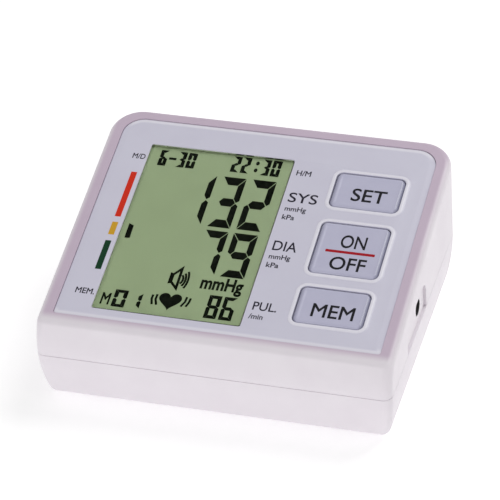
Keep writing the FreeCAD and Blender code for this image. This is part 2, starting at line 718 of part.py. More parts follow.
def make_display():
    """Front glass, longer rear glass, reflector, holder and the two rubber connectors."""
    x0, x1, y0, y1 = GLASS
    pieces = {}
    front = (x0, x1, y0 + ZEBRA_WIDTH + FIT, y1 - ZEBRA_WIDTH - FIT)
    pieces["display_front_glass"] = plate(*front, GLASS_STEP, GLASS_TOP, SOFT_CORNER)
    pieces["display_rear_glass"] = plate(*GLASS, GLASS_BACK, GLASS_STEP, SOFT_CORNER)
    pieces["display_reflector"] = plate(*front, REFLECTOR_BACK, GLASS_BACK, SOFT_CORNER)
    wall = grown(GLASS, FIT + HOLDER_WALL)
    holder = plate(*wall, BOARD_TOP, -ROOF - FIT, HOLDER_WALL)
    well = plate(*grown(GLASS, FIT), GLASS_BACK, 0, SOFT_CORNER)
    ledge = plate(*grown(front, -HOLDER_WALL), BOARD_TOP - 1, 0, SOFT_CORNER)
    seat = plate(*grown(front, FIT), REFLECTOR_BACK, 0, SOFT_CORNER)
    slots = []
    strips = []
    for s0, s1 in ((y0, y0 + ZEBRA_WIDTH), (y1 - ZEBRA_WIDTH, y1)):
        strip = (x0 + HOLDER_WALL, x1 - HOLDER_WALL, s0, s1)
        strips.append(on_slope(plate(*strip, BOARD_TOP, GLASS_BACK, SOFT_CORNER)))
        slots.append(plate(*strip, BOARD_TOP - 1, 0, SOFT_CORNER))
    pieces["display_holder"] = holder.cut([well, ledge, seat] + slots)
    for node, shape in pieces.items():
        save(on_slope(shape), node)
    save(Part.makeCompound(strips), "display_connectors")


# ---------------------------------------------------------------- main board
def make_board():
    """Printed circuit board with screw holes and notches for the posts and the jack."""
    limits = (-BOARD_HALF_WIDTH, BOARD_HALF_WIDTH, BOARD_FRONT, BOARD_REAR)
    board = on_slope(plate(*limits, BOARD_BACK, BOARD_TOP, BOARD_CORNER))
    cuts = posts(POST_RADIUS + BOARD_CLEAR, 0, FAR)
    notch_x = HALF - WALL - JACK_BODY[0] - BOARD_CLEAR
    notch_half = JACK_BODY[1] / 2 + BOARD_CLEAR
    cuts.append(block(notch_x, FAR, JACK_Y - notch_half, JACK_Y + notch_half, 0, FAR))
    for x, s in BOARD_BOSSES:
        cuts.append(on_slope(rod(BOARD_SCREW_RADIUS + FIT, Vector(x, s, -FAR), Vector(x, s, 0))))
    return board.cut(cuts)


def screw(head_radius, head_thick, radius, seat, tip):
    """Flat-headed screw: its head lies behind the seat, its shank runs on to the tip."""
    back = Vector(tip.sub(seat)).normalize().multiply(-head_thick)
    return rod(head_radius, seat.add(back), seat).fuse(rod(radius, seat, tip))


def make_board_screws():
    shafts = []
    for x, s in BOARD_BOSSES:
        seat = slope_point(x, s, BOARD_BACK)
        tip = slope_point(x, s, BOARD_TOP + BOARD_SCREW_BITE)
        shafts.append(screw(BOARD_HEAD_RADIUS, BOARD_HEAD_THICK, BOARD_SCREW_RADIUS, seat, tip))
    return Part.makeCompound(shafts)


def make_case_screws():
    shafts = []
    for x, y in POSTS:
        seat = Vector(x, y, BASE + SCREW_SINK)
        tip = Vector(x, y, PARTING + SCREW_BITE)
        shafts.append(screw(SCREW_HEAD_RADIUS, SCREW_HEAD_THICK, SCREW_RADIUS, seat, tip))
    return Part.makeCompound(shafts)


def make_feet():
    """Domed rubber feet seated in wells in the base."""
    feet = []
    for x, y in FEET:
        foot = rod(FOOT_RADIUS, Vector(x, y, 0), Vector(x, y, BASE + FOOT_SEAT))
        foot = foot.makeChamfer(FOOT_HEIGHT * 0.6, edges_at_height(foot, 0))
        feet.append(foot)
    return Part.makeCompound(feet)


def under_board(place, width, length, height):
    """A square-cornered component on the board's lower face."""
    limits = centred(*place, width, length)
    return on_slope(plate(*limits, BOARD_BACK - height, BOARD_BACK, SOFT_CORNER))


def can_under_board(place, radius, height):
    """A round component on the board's lower face."""
    return on_slope(rod(radius, Vector(*place, BOARD_BACK - height), Vector(*place, BOARD_BACK)))


def make_board_parts():
    save(under_board(CHIP, CHIP_SIZE, CHIP_SIZE, CHIP_THICK), "controller_chip")
    small = [under_board(place, *SMALL_CHIP_SIZE, SMALL_CHIP_THICK) for place in SMALL_CHIPS]
    save(Part.makeCompound(small), "small_chips")

    hole_end = Vector(*BUZZER, BOARD_BACK - BUZZER_ROOM)
    sound_hole = rod(BUZZER_HOLE, Vector(*BUZZER, BOARD_BACK - BUZZER_HEIGHT), hole_end)
    buzzer = can_under_board(BUZZER, BUZZER_RADIUS, BUZZER_HEIGHT)
    save(buzzer.cut(on_slope(sound_hole)), "buzzer")

    x, s = CAPACITOR
    cans = []
    for i in range(3):
        cans.append(can_under_board((x, s + CAPACITOR_PITCH * i), CAPACITOR_RADIUS, CAPACITOR_HEIGHT))
    save(Part.makeCompound(cans), "capacitors")

    body = under_board(SENSOR, SENSOR_SIZE, SENSOR_SIZE, SENSOR_HEIGHT)
    port = pipe(NIPPLE_RADIUS, NIPPLE_BORE, slope_point(*SENSOR, SENSOR_BACK - SENSOR_PORT),
                slope_point(*SENSOR, SENSOR_BACK))
    save(body.fuse(port), "pressure_sensor")


SENSOR_BACK = BOARD_BACK - SENSOR_HEIGHT
SENSOR_BEND = Vector(MANIFOLD_X, MANIFOLD_Y, MANIFOLD_Z + MANIFOLD[2] / 2 + NIPPLE_LENGTH + SENSOR_RISE)
SENSOR = tuple(SLOPE_FRAME.inverse().multVec(SENSOR_BEND))[:2]


# ---------------------------------------------------------------- sockets
def make_jack():
    length, width, height = JACK_BODY
    inner_face = HALF - WALL
    mouth = HALF - RECESS_DEPTH
    root = mouth - JACK_BORE_LENGTH
    body = block(
        inner_face - length, inner_face, JACK_Y - width / 2, JACK_Y + width / 2,
        SOCKET_HEIGHT - height / 2, SOCKET_HEIGHT + height / 2,
    )
    collar = crossways(JACK_HOLE_RADIUS - FIT, inner_face, mouth, JACK_Y, SOCKET_HEIGHT)
    bore = crossways(JACK_BORE_RADIUS, root, FAR, JACK_Y, SOCKET_HEIGHT)
    pin = crossways(JACK_PIN_RADIUS, root, mouth - JACK_PIN_SINK, JACK_Y, SOCKET_HEIGHT)
    save(body.fuse(collar).cut(bore), "power_jack")
    save(pin, "power_jack_pin")


def make_hose_socket():
    """Socket for the cuff hose: flanged sleeve in the wall, tube nipple inside."""
    axis = (HOSE_Y, HOSE_HEIGHT)
    sleeve = crossways(HOSE_BODY_RADIUS, -HALF, HOSE_NIPPLE, *axis)
    flange = crossways(HOSE_FLANGE_RADIUS, HOSE_FACE, HOSE_FACE + HOSE_FLANGE_THICK, *axis)
    nipple = crossways(NIPPLE_RADIUS, HOSE_NIPPLE, HOSE_NIPPLE + NIPPLE_LENGTH, *axis)
    bore = crossways(HOSE_BORE_RADIUS, -FAR, -HALF + HOSE_BORE_LENGTH, *axis)
    drill = crossways(NIPPLE_BORE, -FAR, 0, *axis)
    return sleeve.fuse([flange, nipple]).cut([bore, drill])


HOSE_NIPPLE = -HALF + HOSE_BORE_LENGTH + HOSE_WEB


# ---------------------------------------------------------------- batteries
def make_batteries():
    """Four cells side by side, every other one turned, with leaf contacts at both ends."""
    contacts = []
    for i in range(4):
        x = BAY_X + (i - 1.5) * CELL_PITCH
        way = 1 if i % 2 else -1
        middle = (BAY_FRONT + BAY_REAR) / 2
        tail = middle - way * (CELL_BODY + CELL_TIP) / 2
        shoulder = tail + way * CELL_BODY
        tip = shoulder + way * CELL_TIP
        cell = rod(CELL_RADIUS, Vector(x, tail, CELL_Z), Vector(x, shoulder, CELL_Z))
        cell = cell.fuse(rod(CELL_TIP_RADIUS, Vector(x, shoulder, CELL_Z), Vector(x, tip, CELL_Z)))
        save(cell, "battery_%d" % (i + 1))
        for end in (tip, tail):
            wall, out = (BAY_REAR, 1) if end > middle else (BAY_FRONT, -1)
            contacts.append(contact(x, wall, end, out))
    save(Part.makeCompound(contacts), "battery_contacts")


def contact(x, wall, end, out):
    """A strip against the bay wall with a leaf bent over to press on the cell."""
    sheet = CONTACT_THICK * out
    low, high = CELL_Z - CONTACT_REACH, CELL_Z + CONTACT_REACH
    leaf_low, leaf_high = CELL_Z - LEAF_REACH, CELL_Z + LEAF_REACH
    fold = [
        (wall, low), (wall, high + CONTACT_FOLD), (wall - 2 * sheet, high + CONTACT_FOLD),
        (end, leaf_high), (end, leaf_low), (end + sheet, leaf_low),
        (end + sheet, leaf_high - CONTACT_THICK), (wall - sheet, high), (wall - sheet, low),
    ]
    corners = [Vector(x - CONTACT_WIDTH / 2, y, z) for y, z in fold]
    ring = Part.makePolygon(corners + [corners[0]])
    return Part.Face(ring).extrude(Vector(CONTACT_WIDTH, 0, 0))


# ---------------------------------------------------------------- pump
def on_pump(y0, y1, radius):
    return rod(radius, Vector(PUMP_X, y0, PUMP_Z), Vector(PUMP_X, y1, PUMP_Z))


def make_motor():
    """Small motor: can and end cap, two magnets, and a rotor of shaft, armature and commutator."""
    inner = MOTOR_RADIUS - MOTOR_SKIN
    bearing = SHAFT_RADIUS + BEARING_GAP
    cap_rear = MOTOR_REAR + CAP_LENGTH
    can = on_pump(MOTOR_FRONT, MOTOR_REAR, MOTOR_RADIUS)
    room = on_pump(MOTOR_FRONT + MOTOR_SKIN, MOTOR_REAR, inner)
    save(can.cut([room, on_pump(MOTOR_FRONT, MOTOR_REAR, bearing)]), "pump_motor_can")

    cap = on_pump(MOTOR_REAR, cap_rear, MOTOR_RADIUS)
    cap = cap.cut(on_pump(MOTOR_REAR, cap_rear - CAP_END, MOTOR_RADIUS - CAP_SKIN))
    hub = on_pump(MOTOR_REAR, cap_rear, CAP_HUB_RADIUS)
    well = on_pump(MOTOR_REAR, cap_rear - MOTOR_SKIN, bearing)
    save(cap.fuse(hub).cut(well), "pump_motor_cap")

    ring = on_pump(MOTOR_FRONT + MAGNET_INSET, MOTOR_REAR - MAGNET_INSET, inner - FIT)
    ring = ring.cut(on_pump(MOTOR_FRONT, MOTOR_REAR, inner - MAGNET_THICK))
    half_split = MAGNET_SPLIT / 2
    split = block(PUMP_X - half_split, PUMP_X + half_split, MOTOR_FRONT, MOTOR_REAR, 0, FAR)
    save(Part.makeCompound(ring.cut(split).Solids), "pump_magnets")

    save(on_pump(MOTOR_FRONT - SHAFT_NOSE, cap_rear - MOTOR_SKIN - BEARING_GAP, SHAFT_RADIUS), "pump_shaft")
    y0 = (MOTOR_FRONT + MOTOR_REAR - ROTOR_LENGTH) / 2
    y1 = y0 + ROTOR_LENGTH
    cuts = [on_pump(y0, y1, SHAFT_RADIUS)]
    for i in range(POLES):
        notch = block(-POLE_SLOT / 2, POLE_SLOT / 2, y0, y1, POLE_ROOT, FAR)
        turn = Rotation(Vector(0, 1, 0), 360 / POLES * i)
        notch.Placement = Placement(Vector(PUMP_X, 0, PUMP_Z), turn)
        cuts.append(notch)
    save(on_pump(y0, y1, ROTOR_RADIUS).cut(cuts), "pump_armature")
    commutator = on_pump(y1, MOTOR_REAR - CRANK_GAP, COMMUTATOR_RADIUS)
    save(commutator.cut(on_pump(y1, MOTOR_REAR, SHAFT_RADIUS)), "pump_commutator")

    crank_rear = MOTOR_FRONT - CRANK_GAP
    crank_front = crank_rear - CRANK_THICK
    pin_x = PUMP_X + CRANK_THROW
    pin = rod(CRANK_PIN_RADIUS, Vector(pin_x, crank_front - CRANK_PIN_LENGTH, PUMP_Z),
              Vector(pin_x, crank_front, PUMP_Z))
    bore = on_pump(MOTOR_FRONT - SHAFT_NOSE, crank_rear, SHAFT_RADIUS)
    save(on_pump(crank_front, crank_rear, CRANK_RADIUS).fuse(pin).cut(bore), "pump_crank")
    return crank_front - CRANK_PIN_LENGTH


def make_pump_head(pin_end):
    """Crank housing, rocker plate, diaphragm and valve cover; gives the outlet's front end."""
    head_front = MOTOR_FRONT - CRANK_LENGTH
    housing = on_pump(head_front, MOTOR_FRONT, HEAD_RADIUS)
    room = on_pump(head_front, MOTOR_FRONT - HEAD_WALL, HEAD_RADIUS - HEAD_WALL)
    save(housing.cut([room, on_pump(head_front, MOTOR_FRONT, COLLAR_RADIUS)]), "pump_crank_housing")

    socket_radius = CRANK_THROW + ROCKER_SKIN
    rocker = on_pump(head_front, head_front + ROCKER_THICK, HEAD_RADIUS - HEAD_WALL - ROCKER_GAP)
    hub = on_pump(head_front, pin_end + ROCKER_LAP, socket_radius + ROCKER_SKIN)
    socket = on_pump(head_front + RUNNING, pin_end + ROCKER_LAP, socket_radius)
    save(rocker.fuse(hub).cut(socket), "pump_rocker")

    plate_front = head_front - DIAPHRAGM_THICK
    cups = []
    for i in range(3):
        angle = math.radians(90 + 120 * i)
        x = PUMP_X + CUP_CIRCLE * math.cos(angle)
        z = PUMP_Z + CUP_CIRCLE * math.sin(angle)
        cups.append(rod(CUP_RADIUS, Vector(x, plate_front, z), Vector(x, head_front - CUP_SKIN, z)))
    save(on_pump(plate_front, head_front, HEAD_RADIUS).cut(cups), "pump_diaphragm")

    cover_front = plate_front - VALVE_PLATE
    outlet_front = cover_front - NIPPLE_LENGTH
    cover = on_pump(cover_front, plate_front, HEAD_RADIUS)
    room = on_pump(plate_front - VALVE_ROOM, plate_front, HEAD_RADIUS - HEAD_WALL)
    outlet = on_pump(outlet_front, cover_front, NIPPLE_RADIUS)
    drill = on_pump(outlet_front, plate_front, NIPPLE_BORE)
    save(cover.fuse(outlet).cut([room, drill]), "pump_valve_cover")
    return outlet_front


def make_pump_mounts():
    """Rubber rings that hold the motor in its two cradles."""
    rings = []
    for y in CRADLES:
        ends = y - CRADLE_THICK / 2, y + CRADLE_THICK / 2
        rings.append(on_pump(*ends, MOTOR_RADIUS + MOUNT_RING).cut(on_pump(*ends, MOTOR_RADIUS)))
    return Part.makeCompound(rings)


# ---------------------------------------------------------------- release valve
def on_valve(z0, z1, radius):
    return rod(radius, Vector(VALVE_X, VALVE_Y, z0), Vector(VALVE_X, VALVE_Y, z1))


def make_valve():
    """Solenoid release valve: yoke, coil, sprung plunger with a rubber seal, and its seat."""
    width, depth, height = VALVE_BODY
    seat_face = FLOOR + SEAT_THICK
    rest = seat_face + SEAL_THICK
    z0 = rest + SEAT_GAP
    z1 = z0 + height
    roof = z1 - YOKE_THICK
    x0, x1 = VALVE_X - width / 2, VALVE_X + width / 2
    frame = block(x0, x1, VALVE_Y - depth / 2, VALVE_Y + depth / 2, z0, z1)
    room = block(x0 + YOKE_THICK, x1 - YOKE_THICK, VALVE_Y - depth, VALVE_Y + depth, z0 + YOKE_THICK, roof)
    save(frame.cut([room, on_valve(z0 - 1, z0 + 2 * YOKE_THICK, COIL_CORE_RADIUS)]), "valve_yoke")
    coil = on_valve(z0 + YOKE_THICK, roof, COIL_RADIUS)
    save(coil.cut(on_valve(z0, z1, VALVE_PLUNGER_RADIUS + COIL_GAP)), "valve_coil")

    tail = rest + VALVE_PLUNGER_LENGTH
    save(on_valve(rest, tail, VALVE_PLUNGER_RADIUS), "valve_plunger")
    spring_top = roof - CORE_END
    stop = on_valve(tail + VALVE_TRAVEL + RUNNING, roof, VALVE_PLUNGER_RADIUS)
    save(stop.cut(on_valve(tail, spring_top, SPRING_RADIUS + FIT)), "valve_core")
    spring = on_valve(tail, spring_top, SPRING_RADIUS)
    save(spring.cut(on_valve(tail, z1, SPRING_RADIUS - SPRING_WIRE)), "valve_spring")
    save(on_valve(seat_face, rest, VALVE_PLUNGER_RADIUS), "valve_seal")

    cup = on_valve(FLOOR, z0, COIL_RADIUS)
    cup = cup.cut(on_valve(seat_face, z0 + 1, VALVE_PLUNGER_RADIUS + RUNNING))
    vent = block(VALVE_X - VENT / 2, VALVE_X + VENT / 2, VALVE_Y, VALVE_Y + 2 * COIL_RADIUS,
                 seat_face, z0 - VENT_LAND)
    middle = Vector(VALVE_X, VALVE_Y, MANIFOLD_Z)
    tip = Vector(VALVE_X - COIL_RADIUS - NIPPLE_LENGTH, VALVE_Y, MANIFOLD_Z)
    nipple = rod(NIPPLE_RADIUS, tip, Vector(VALVE_X - COIL_RADIUS / 2, VALVE_Y, MANIFOLD_Z))
    drills = [rod(NIPPLE_BORE, tip, middle), on_valve(MANIFOLD_Z, seat_face + 1, NIPPLE_BORE)]
    save(cup.fuse(nipple).cut([vent] + drills), "valve_seat")
    return tip


# ---------------------------------------------------------------- manifold and tubes
def make_manifold():
    """Four-way block that joins the pump, hose socket, release valve and sensor."""
    width, depth, height = MANIFOLD
    x, y, z = MANIFOLD_X, MANIFOLD_Y, MANIFOLD_Z
    body = block(x - width / 2, x + width / 2, y - depth / 2, y + depth / 2, z - height / 2, z + height / 2)
    ends = {
        "pump": (Vector(-1, 0, 0), width / 2),
        "valve": (Vector(1, 0, 0), width / 2),
        "hose": (Vector(0, 1, 0), depth / 2),
        "sensor": (Vector(0, 0, 1), height / 2),
    }
    middle = Vector(x, y, z)
    tips = {}
    for name, (way, reach) in ends.items():
        root = middle.add(Vector(way).multiply(reach))
        tip = root.add(Vector(way).multiply(NIPPLE_LENGTH))
        body = body.fuse(rod(NIPPLE_RADIUS, root, tip))
        tips[name] = (root, tip)
    for root, tip in tips.values():
        body = body.cut(rod(NIPPLE_BORE, middle, tip))
    save(body, "air_manifold")
    return tips


def tube_along(points):
    """A hollow tube: straight lengths joined by tangent elbows turned about each corner."""
    lengths = []
    here = points[0]

    def disc(radius, at, way):
        return Part.Face(Part.Wire(Part.makeCircle(radius, at, way)))

    def ring(at, way):
        return disc(NIPPLE_RADIUS + TUBE_WALL, at, way).cut(disc(NIPPLE_RADIUS, at, way)).Faces[0]

    for before, corner, after in zip(points, points[1:], points[2:]):
        back = before.sub(corner).normalize()
        on = after.sub(corner).normalize()
        turn = math.pi - back.getAngle(on)
        reach = 0.45 * min(before.sub(corner).Length, after.sub(corner).Length)
        radius = min(TUBE_BEND, reach / math.tan(turn / 2))
        trim = radius * math.tan(turn / 2)
        start = corner.add(Vector(back).multiply(trim))
        inward = back.add(on).normalize()
        centre = corner.add(Vector(inward).multiply(radius / math.cos(turn / 2)))
        lengths.append(ring(here, start.sub(here)).extrude(start.sub(here)))
        axle = on.cross(back)
        lengths.append(ring(start, back).revolve(centre, axle, math.degrees(turn)))
        here = corner.add(Vector(on).multiply(trim))
    last = points[-1].sub(here)
    lengths.append(ring(here, last).extrude(last))
    return lengths[0].fuse(lengths[1:]) if len(lengths) > 1 else lengths[0]


def make_tubes(pump_tip, valve_tip, nipples):
    """The four soft tubes, each pushed over a nipple at both ends."""
    grip = NIPPLE_LENGTH - TUBE_BARE
    low_hose = HOSE_HEIGHT - HOSE_TUBE_DROP
    outside = NIPPLE_RADIUS + TUBE_WALL
    beside_bay = BAY_X - BAY_HALF - BAY_WALL - 2 * outside
    before_bay = BAY_FRONT - BAY_WALL - 2 * outside
    starts = {}
    for name, (root, tip) in nipples.items():
        way = tip.sub(root).normalize()
        starts[name] = root.add(way.multiply(TUBE_BARE))
    pump_start, hose_start = starts["pump"], starts["hose"]
    routes = {
        "pump_tube": [
            pump_tip.add(Vector(0, grip, 0)),
            Vector(PUMP_X, MANIFOLD_Y, PUMP_Z),
            Vector(PUMP_X + TUBE_BEND, MANIFOLD_Y, MANIFOLD_Z),
            pump_start,
        ],
        "valve_tube": [starts["valve"], valve_tip.add(Vector(grip, 0, 0))],
        "hose_tube": [
            Vector(HOSE_NIPPLE + TUBE_BARE, HOSE_Y, HOSE_HEIGHT),
            Vector(beside_bay, HOSE_Y, HOSE_HEIGHT),
            Vector(beside_bay, before_bay, low_hose),
            Vector(MANIFOLD_X, before_bay, MANIFOLD_Z),
            hose_start,
        ],
        "sensor_tube": [starts["sensor"], SENSOR_BEND, slope_point(*SENSOR, SENSOR_BACK - TUBE_BARE)],
    }
    for node, points in routes.items():
        save(tube_along(points), node)


# ---------------------------------------------------------------- build everything
save(make_top_case(), "top_case")
save(make_bottom_case(), "bottom_case")
save(make_battery_cover(), "battery_cover")
save(make_front_panel(), "front_panel")
save(make_lens(), "display_lens")
for name, limits in KEYS.items():
    save(make_key(limits), name + "_key")
    save(make_plunger(limits), name + "_switch_plunger")
save(make_switch_bodies(), "switch_bodies")
make_display()
save(make_board(), "main_board")
save(make_board_screws(), "board_screws")
save(make_case_screws(), "case_screws")
save(make_feet(), "rubber_feet")
make_board_parts()
make_jack()
save(make_hose_socket(), "hose_socket")
make_batteries()
pump_outlet = make_pump_head(make_motor())
save(make_pump_mounts(), "pump_mounts")
make_tubes(Vector(PUMP_X, pump_outlet, PUMP_Z), make_valve(), make_manifold())
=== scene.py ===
# %% [markdown]
# # A desktop blood pressure monitor
# The case, panel, keys and works come from the packed frame, one object for each moulded part. This file
# gives each of them its finish, and adds what a printer or a glass maker adds to the real thing: the
# printed words and colour bars, the legends on the keys and the dark figures inside the display. It also
# draws the panel and the key caps again, with softer edges.

# %% Load the frame
import json
import math

import bmesh
import bpy
import numpy as np
from mathutils import Matrix, Vector
from mathutils.geometry import tessellate_polygon


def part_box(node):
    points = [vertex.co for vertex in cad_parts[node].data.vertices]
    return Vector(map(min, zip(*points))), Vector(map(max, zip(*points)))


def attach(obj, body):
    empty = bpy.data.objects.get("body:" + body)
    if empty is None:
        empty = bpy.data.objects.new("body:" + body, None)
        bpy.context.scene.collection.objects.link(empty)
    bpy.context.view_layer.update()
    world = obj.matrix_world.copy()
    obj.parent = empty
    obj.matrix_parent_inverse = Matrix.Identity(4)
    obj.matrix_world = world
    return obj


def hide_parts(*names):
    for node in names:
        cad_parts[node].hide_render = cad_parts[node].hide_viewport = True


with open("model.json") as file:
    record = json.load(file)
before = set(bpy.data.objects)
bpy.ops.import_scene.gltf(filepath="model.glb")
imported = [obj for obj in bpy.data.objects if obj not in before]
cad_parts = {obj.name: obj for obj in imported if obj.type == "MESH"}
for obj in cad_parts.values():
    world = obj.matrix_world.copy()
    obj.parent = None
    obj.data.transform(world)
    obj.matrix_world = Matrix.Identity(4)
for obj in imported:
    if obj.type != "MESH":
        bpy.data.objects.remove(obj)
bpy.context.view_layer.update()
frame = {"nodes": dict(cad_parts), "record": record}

# %% [markdown]
# ## Colour and background
# The Standard view shows a colour as it is written. The world is a soft white room: it fills the shadows
# evenly, as a white tent does round a small product. A picture of a real room could fill them too, but it
# would put shapes into the gloss.

# %% World and view
scene = bpy.context.scene
scene.view_settings.view_transform = "Standard"
ROOM_LEVEL = 0.45
WHITE = (1, 1, 1, 1)
world = bpy.data.worlds.new("white_room")
scene.world = world


def srgb(red, green, blue):
    """A colour as a screen shows it, 0 to 255, turned into the linear values that shaders use.
    Each value v is divided by 255, and then ((v + 0.055) / 1.055) to the power 2.4."""
    v = np.array((red, green, blue)) / 255
    linear = np.where(v <= 0.04045, v / 12.92, ((v + 0.055) / 1.055) ** 2.4)
    return (*linear.tolist(), 1.0)


print("middle grey is", round(srgb(128, 128, 128)[0], 3))

# %% [markdown]
# ## Shader maths as plain expressions
# A material is a network of nodes. Wiring it by hand is slow to read, so one small class wraps a node's
# output, and the usual operators on it add Math nodes. Every other node comes from Tree.node.

# %% A signal and a tree
class Signal:
    """An output in a material's tree. Each operator on it adds a Math node to the tree."""

    def __init__(self, tree, socket):
        self.tree, self.socket = tree, socket

    def math(self, operation, *others):
        """A Math node that takes this signal first and the others after it."""
        return self.tree.node("ShaderNodeMath", {"operation": operation},
                              dict(enumerate((self, *others))))

    def __add__(self, other):
        return self.math("ADD", other)

    def __sub__(self, other):
        return self.math("SUBTRACT", other)

    def __rsub__(self, other):
        return self.tree.node("ShaderNodeMath", {"operation": "SUBTRACT"}, {0: other, 1: self})

    def __mul__(self, other):
        return self.math("MULTIPLY", other)

    __radd__, __rmul__ = __add__, __mul__

    def step(self, low, high):
        """0 below low, 1 above high and a soft rise between them: t * t * (3 - 2 * t)."""
        return self.tree.node("ShaderNodeMapRange", {"interpolation_type": "SMOOTHSTEP"},
                              {"Value": self, "From Min": low, "From Max": high})


class Tree:
    """The node tree of one material or of the world."""

    def __init__(self, owner):
        owner.use_nodes = True
        self.links, self.nodes = owner.node_tree.links, owner.node_tree.nodes
        self.nodes.clear()

    def node(self, kind, settings=None, values=None, out=0):
        """Adds a node, makes its settings, and feeds its sockets with numbers, colours or signals. Gives
        one of its outputs, by place or by name."""
        node = self.nodes.new(kind)
        for name, value in (settings or {}).items():
            setattr(node, name, value)
        for name, value in (values or {}).items():
            if isinstance(value, Signal):
                self.links.new(value.socket, node.inputs[name])
            else:
                node.inputs[name].default_value = value
        return Signal(self, node.outputs[out]) if len(node.outputs) else None

    def blend(self, share, first, second):
        """A colour that goes from first to second as share goes from 0 to 1."""
        return self.node("ShaderNodeMix", {"data_type": "RGBA"}, {0: share, 6: first, 7: second}, out=2)

    def place(self):
        """Where a point lies on its own object."""
        return self.node("ShaderNodeTexCoord", out="Object")

    def noise(self, size, detail, where=None):
        """Cloudy noise whose blobs are about size metres across."""
        return self.node("ShaderNodeTexNoise", None,
                         {"Vector": where or self.place(), "Scale": 1 / size, "Detail": detail})

    def bump(self, height, strength, distance):
        """A normal that is turned by the slope of a height."""
        return self.node("ShaderNodeBump", None,
                         {"Height": height, "Strength": strength, "Distance": distance})

    def surface(self, values):
        """Ends the tree in one Principled shader."""
        self.finish(self.node("ShaderNodeBsdfPrincipled", None, values))

    def finish(self, shader):
        """Ends the tree in a shader."""
        self.node("ShaderNodeOutputMaterial", None, {"Surface": shader})


def material(name):
    """A new material and its empty tree."""
    made = bpy.data.materials.new(name)
    return made, Tree(made)


print("operators:", [name for name in vars(Signal) if name.startswith("__r")])

# %% [markdown]
# The room has two levels. The camera, a glossy face and clear plastic see it as plain white, and everything
# else gets the lower level that fills the shadows. So the background stays white while the case keeps its
# shape.

# %% The room
tree = Tree(world)
room, backdrop = (tree.node("ShaderNodeBackground", None, {"Color": WHITE, "Strength": strength})
                  for strength in (ROOM_LEVEL, 1.0))
rays = [tree.node("ShaderNodeLightPath", out=name)
        for name in ("Is Camera Ray", "Is Glossy Ray", "Is Transmission Ray")]
seen = sum(rays[1:], rays[0]).math("MINIMUM", 1.0)
tree.node("ShaderNodeOutputWorld", None,
          {"Surface": tree.node("ShaderNodeMixShader", None, {0: seen, 1: room, 2: backdrop})})
print("room level:", ROOM_LEVEL)

# %% [markdown]
# ## The camera
# A long lens from the front right, well above the desk. A camera can be turned by three angles or by a
# constraint that follows a target. Here its own axes are worked out from two angles and a small roll, and a
# matrix puts them straight into Blender, because that leaves nothing to follow.

# %% Camera
AZIMUTH, ELEVATION, ROLL = (math.radians(a) for a in (18.112, 37.335, -4.205))
DISTANCE, ASIDE, ABOVE = 1.118274, 0.012539, 0.054996
AIM = np.array((0.0, -0.052184, 0.0075))
LENS = 221.25


def stand(thing, right, up, back, place):
    """Puts a camera or a lamp at place, with its own axes along right, up and back. It looks along -back."""
    axes = np.eye(4)
    axes[:3] = np.stack((right, up, back, place), 1)
    thing.matrix_world = Matrix(axes.tolist())


back = np.array((math.sin(AZIMUTH) * math.cos(ELEVATION), -math.cos(AZIMUTH) * math.cos(ELEVATION),
                 math.sin(ELEVATION)))
level = np.array((math.cos(AZIMUTH), math.sin(AZIMUTH), 0.0))
upright = np.cross(back, level)
right = math.cos(ROLL) * level + math.sin(ROLL) * upright
up = math.cos(ROLL) * upright - math.sin(ROLL) * level
spot = AIM + DISTANCE * back + ASIDE * right + ABOVE * up

camera = bpy.data.objects.new("camera", bpy.data.cameras.new("camera"))
scene.collection.objects.link(camera)
stand(camera, right, up, back, spot)
camera.data.lens = LENS
camera.data.clip_start, camera.data.clip_end = 0.05, 20
scene.camera = camera
print("camera at", spot.round(3))

# %% [markdown]
# ## Lamps and floor
# Three large soft lamps light the front, the right side and, from above and behind, the top. None of them
# stands where the sloping top would mirror it into the camera, because that would grey the print. A lamp
# of P watts at d metres adds P / (pi * d) squared to a white surface that faces it.

# %% Lamps
# name: place and size in metres, then watts
LAMPS = {
    "front": ((-0.50, -1.30, 0.45), 0.9, 5.9),
    "right": ((1.25, -0.20, 0.50), 0.9, 1.5),
    "behind": ((0.45, 0.65, 1.05), 0.8, 6.2),
}
TARGET = np.array((0.0, 0.0, 0.03))
for name, (place, size, watts) in LAMPS.items():
    lamp = bpy.data.lights.new(name, "AREA")
    lamp.shape, lamp.size, lamp.energy = "DISK", size, watts
    holder = bpy.data.objects.new(name, lamp)
    scene.collection.objects.link(holder)
    away = np.array(place) - TARGET
    distance = np.linalg.norm(away)
    away /= distance
    side = np.cross((0, 0, 1), away)
    side /= np.linalg.norm(side)
    stand(holder, side, np.cross(away, side), away, place)
    print(name, "adds", round(float(watts / (math.pi * distance) ** 2), 2))

# %% [markdown]
# The floor is a wide pale sheet on a light table. Its diffuse white keeps the shadow, and a little light
# of its own lifts the open floor to white and the low parts of the walls with it. From below it is clear,
# so that the underside of the object can be seen through it.

# %% Floor
FLOOR_HALF = 4.0
FLOOR_WHITE, FLOOR_GLOW = 0.92, 0.35
corners = FLOOR_HALF * np.array([(-1, -1, 0), (1, -1, 0), (1, 1, 0), (-1, 1, 0)])
mesh = bpy.data.meshes.new("floor")
mesh.from_pydata(corners.tolist(), [], [(0, 1, 2, 3)])
floor = bpy.data.objects.new("floor", mesh)
scene.collection.objects.link(floor)
floor_paper, tree = material("floor_paper")
paper = tree.node("ShaderNodeBsdfDiffuse", None, {"Color": (FLOOR_WHITE, FLOOR_WHITE, FLOOR_WHITE, 1)})
glow = tree.node("ShaderNodeEmission", None, {"Color": WHITE, "Strength": FLOOR_GLOW})
sheet = tree.node("ShaderNodeAddShader", None, {0: paper, 1: glow})
under = tree.node("ShaderNodeNewGeometry", out="Backfacing")
clear = tree.node("ShaderNodeBsdfTransparent")
tree.finish(tree.node("ShaderNodeMixShader", None, {0: under, 1: sheet, 2: clear}))
mesh.materials.append(floor_paper)
print("floor:", floor.dimensions)

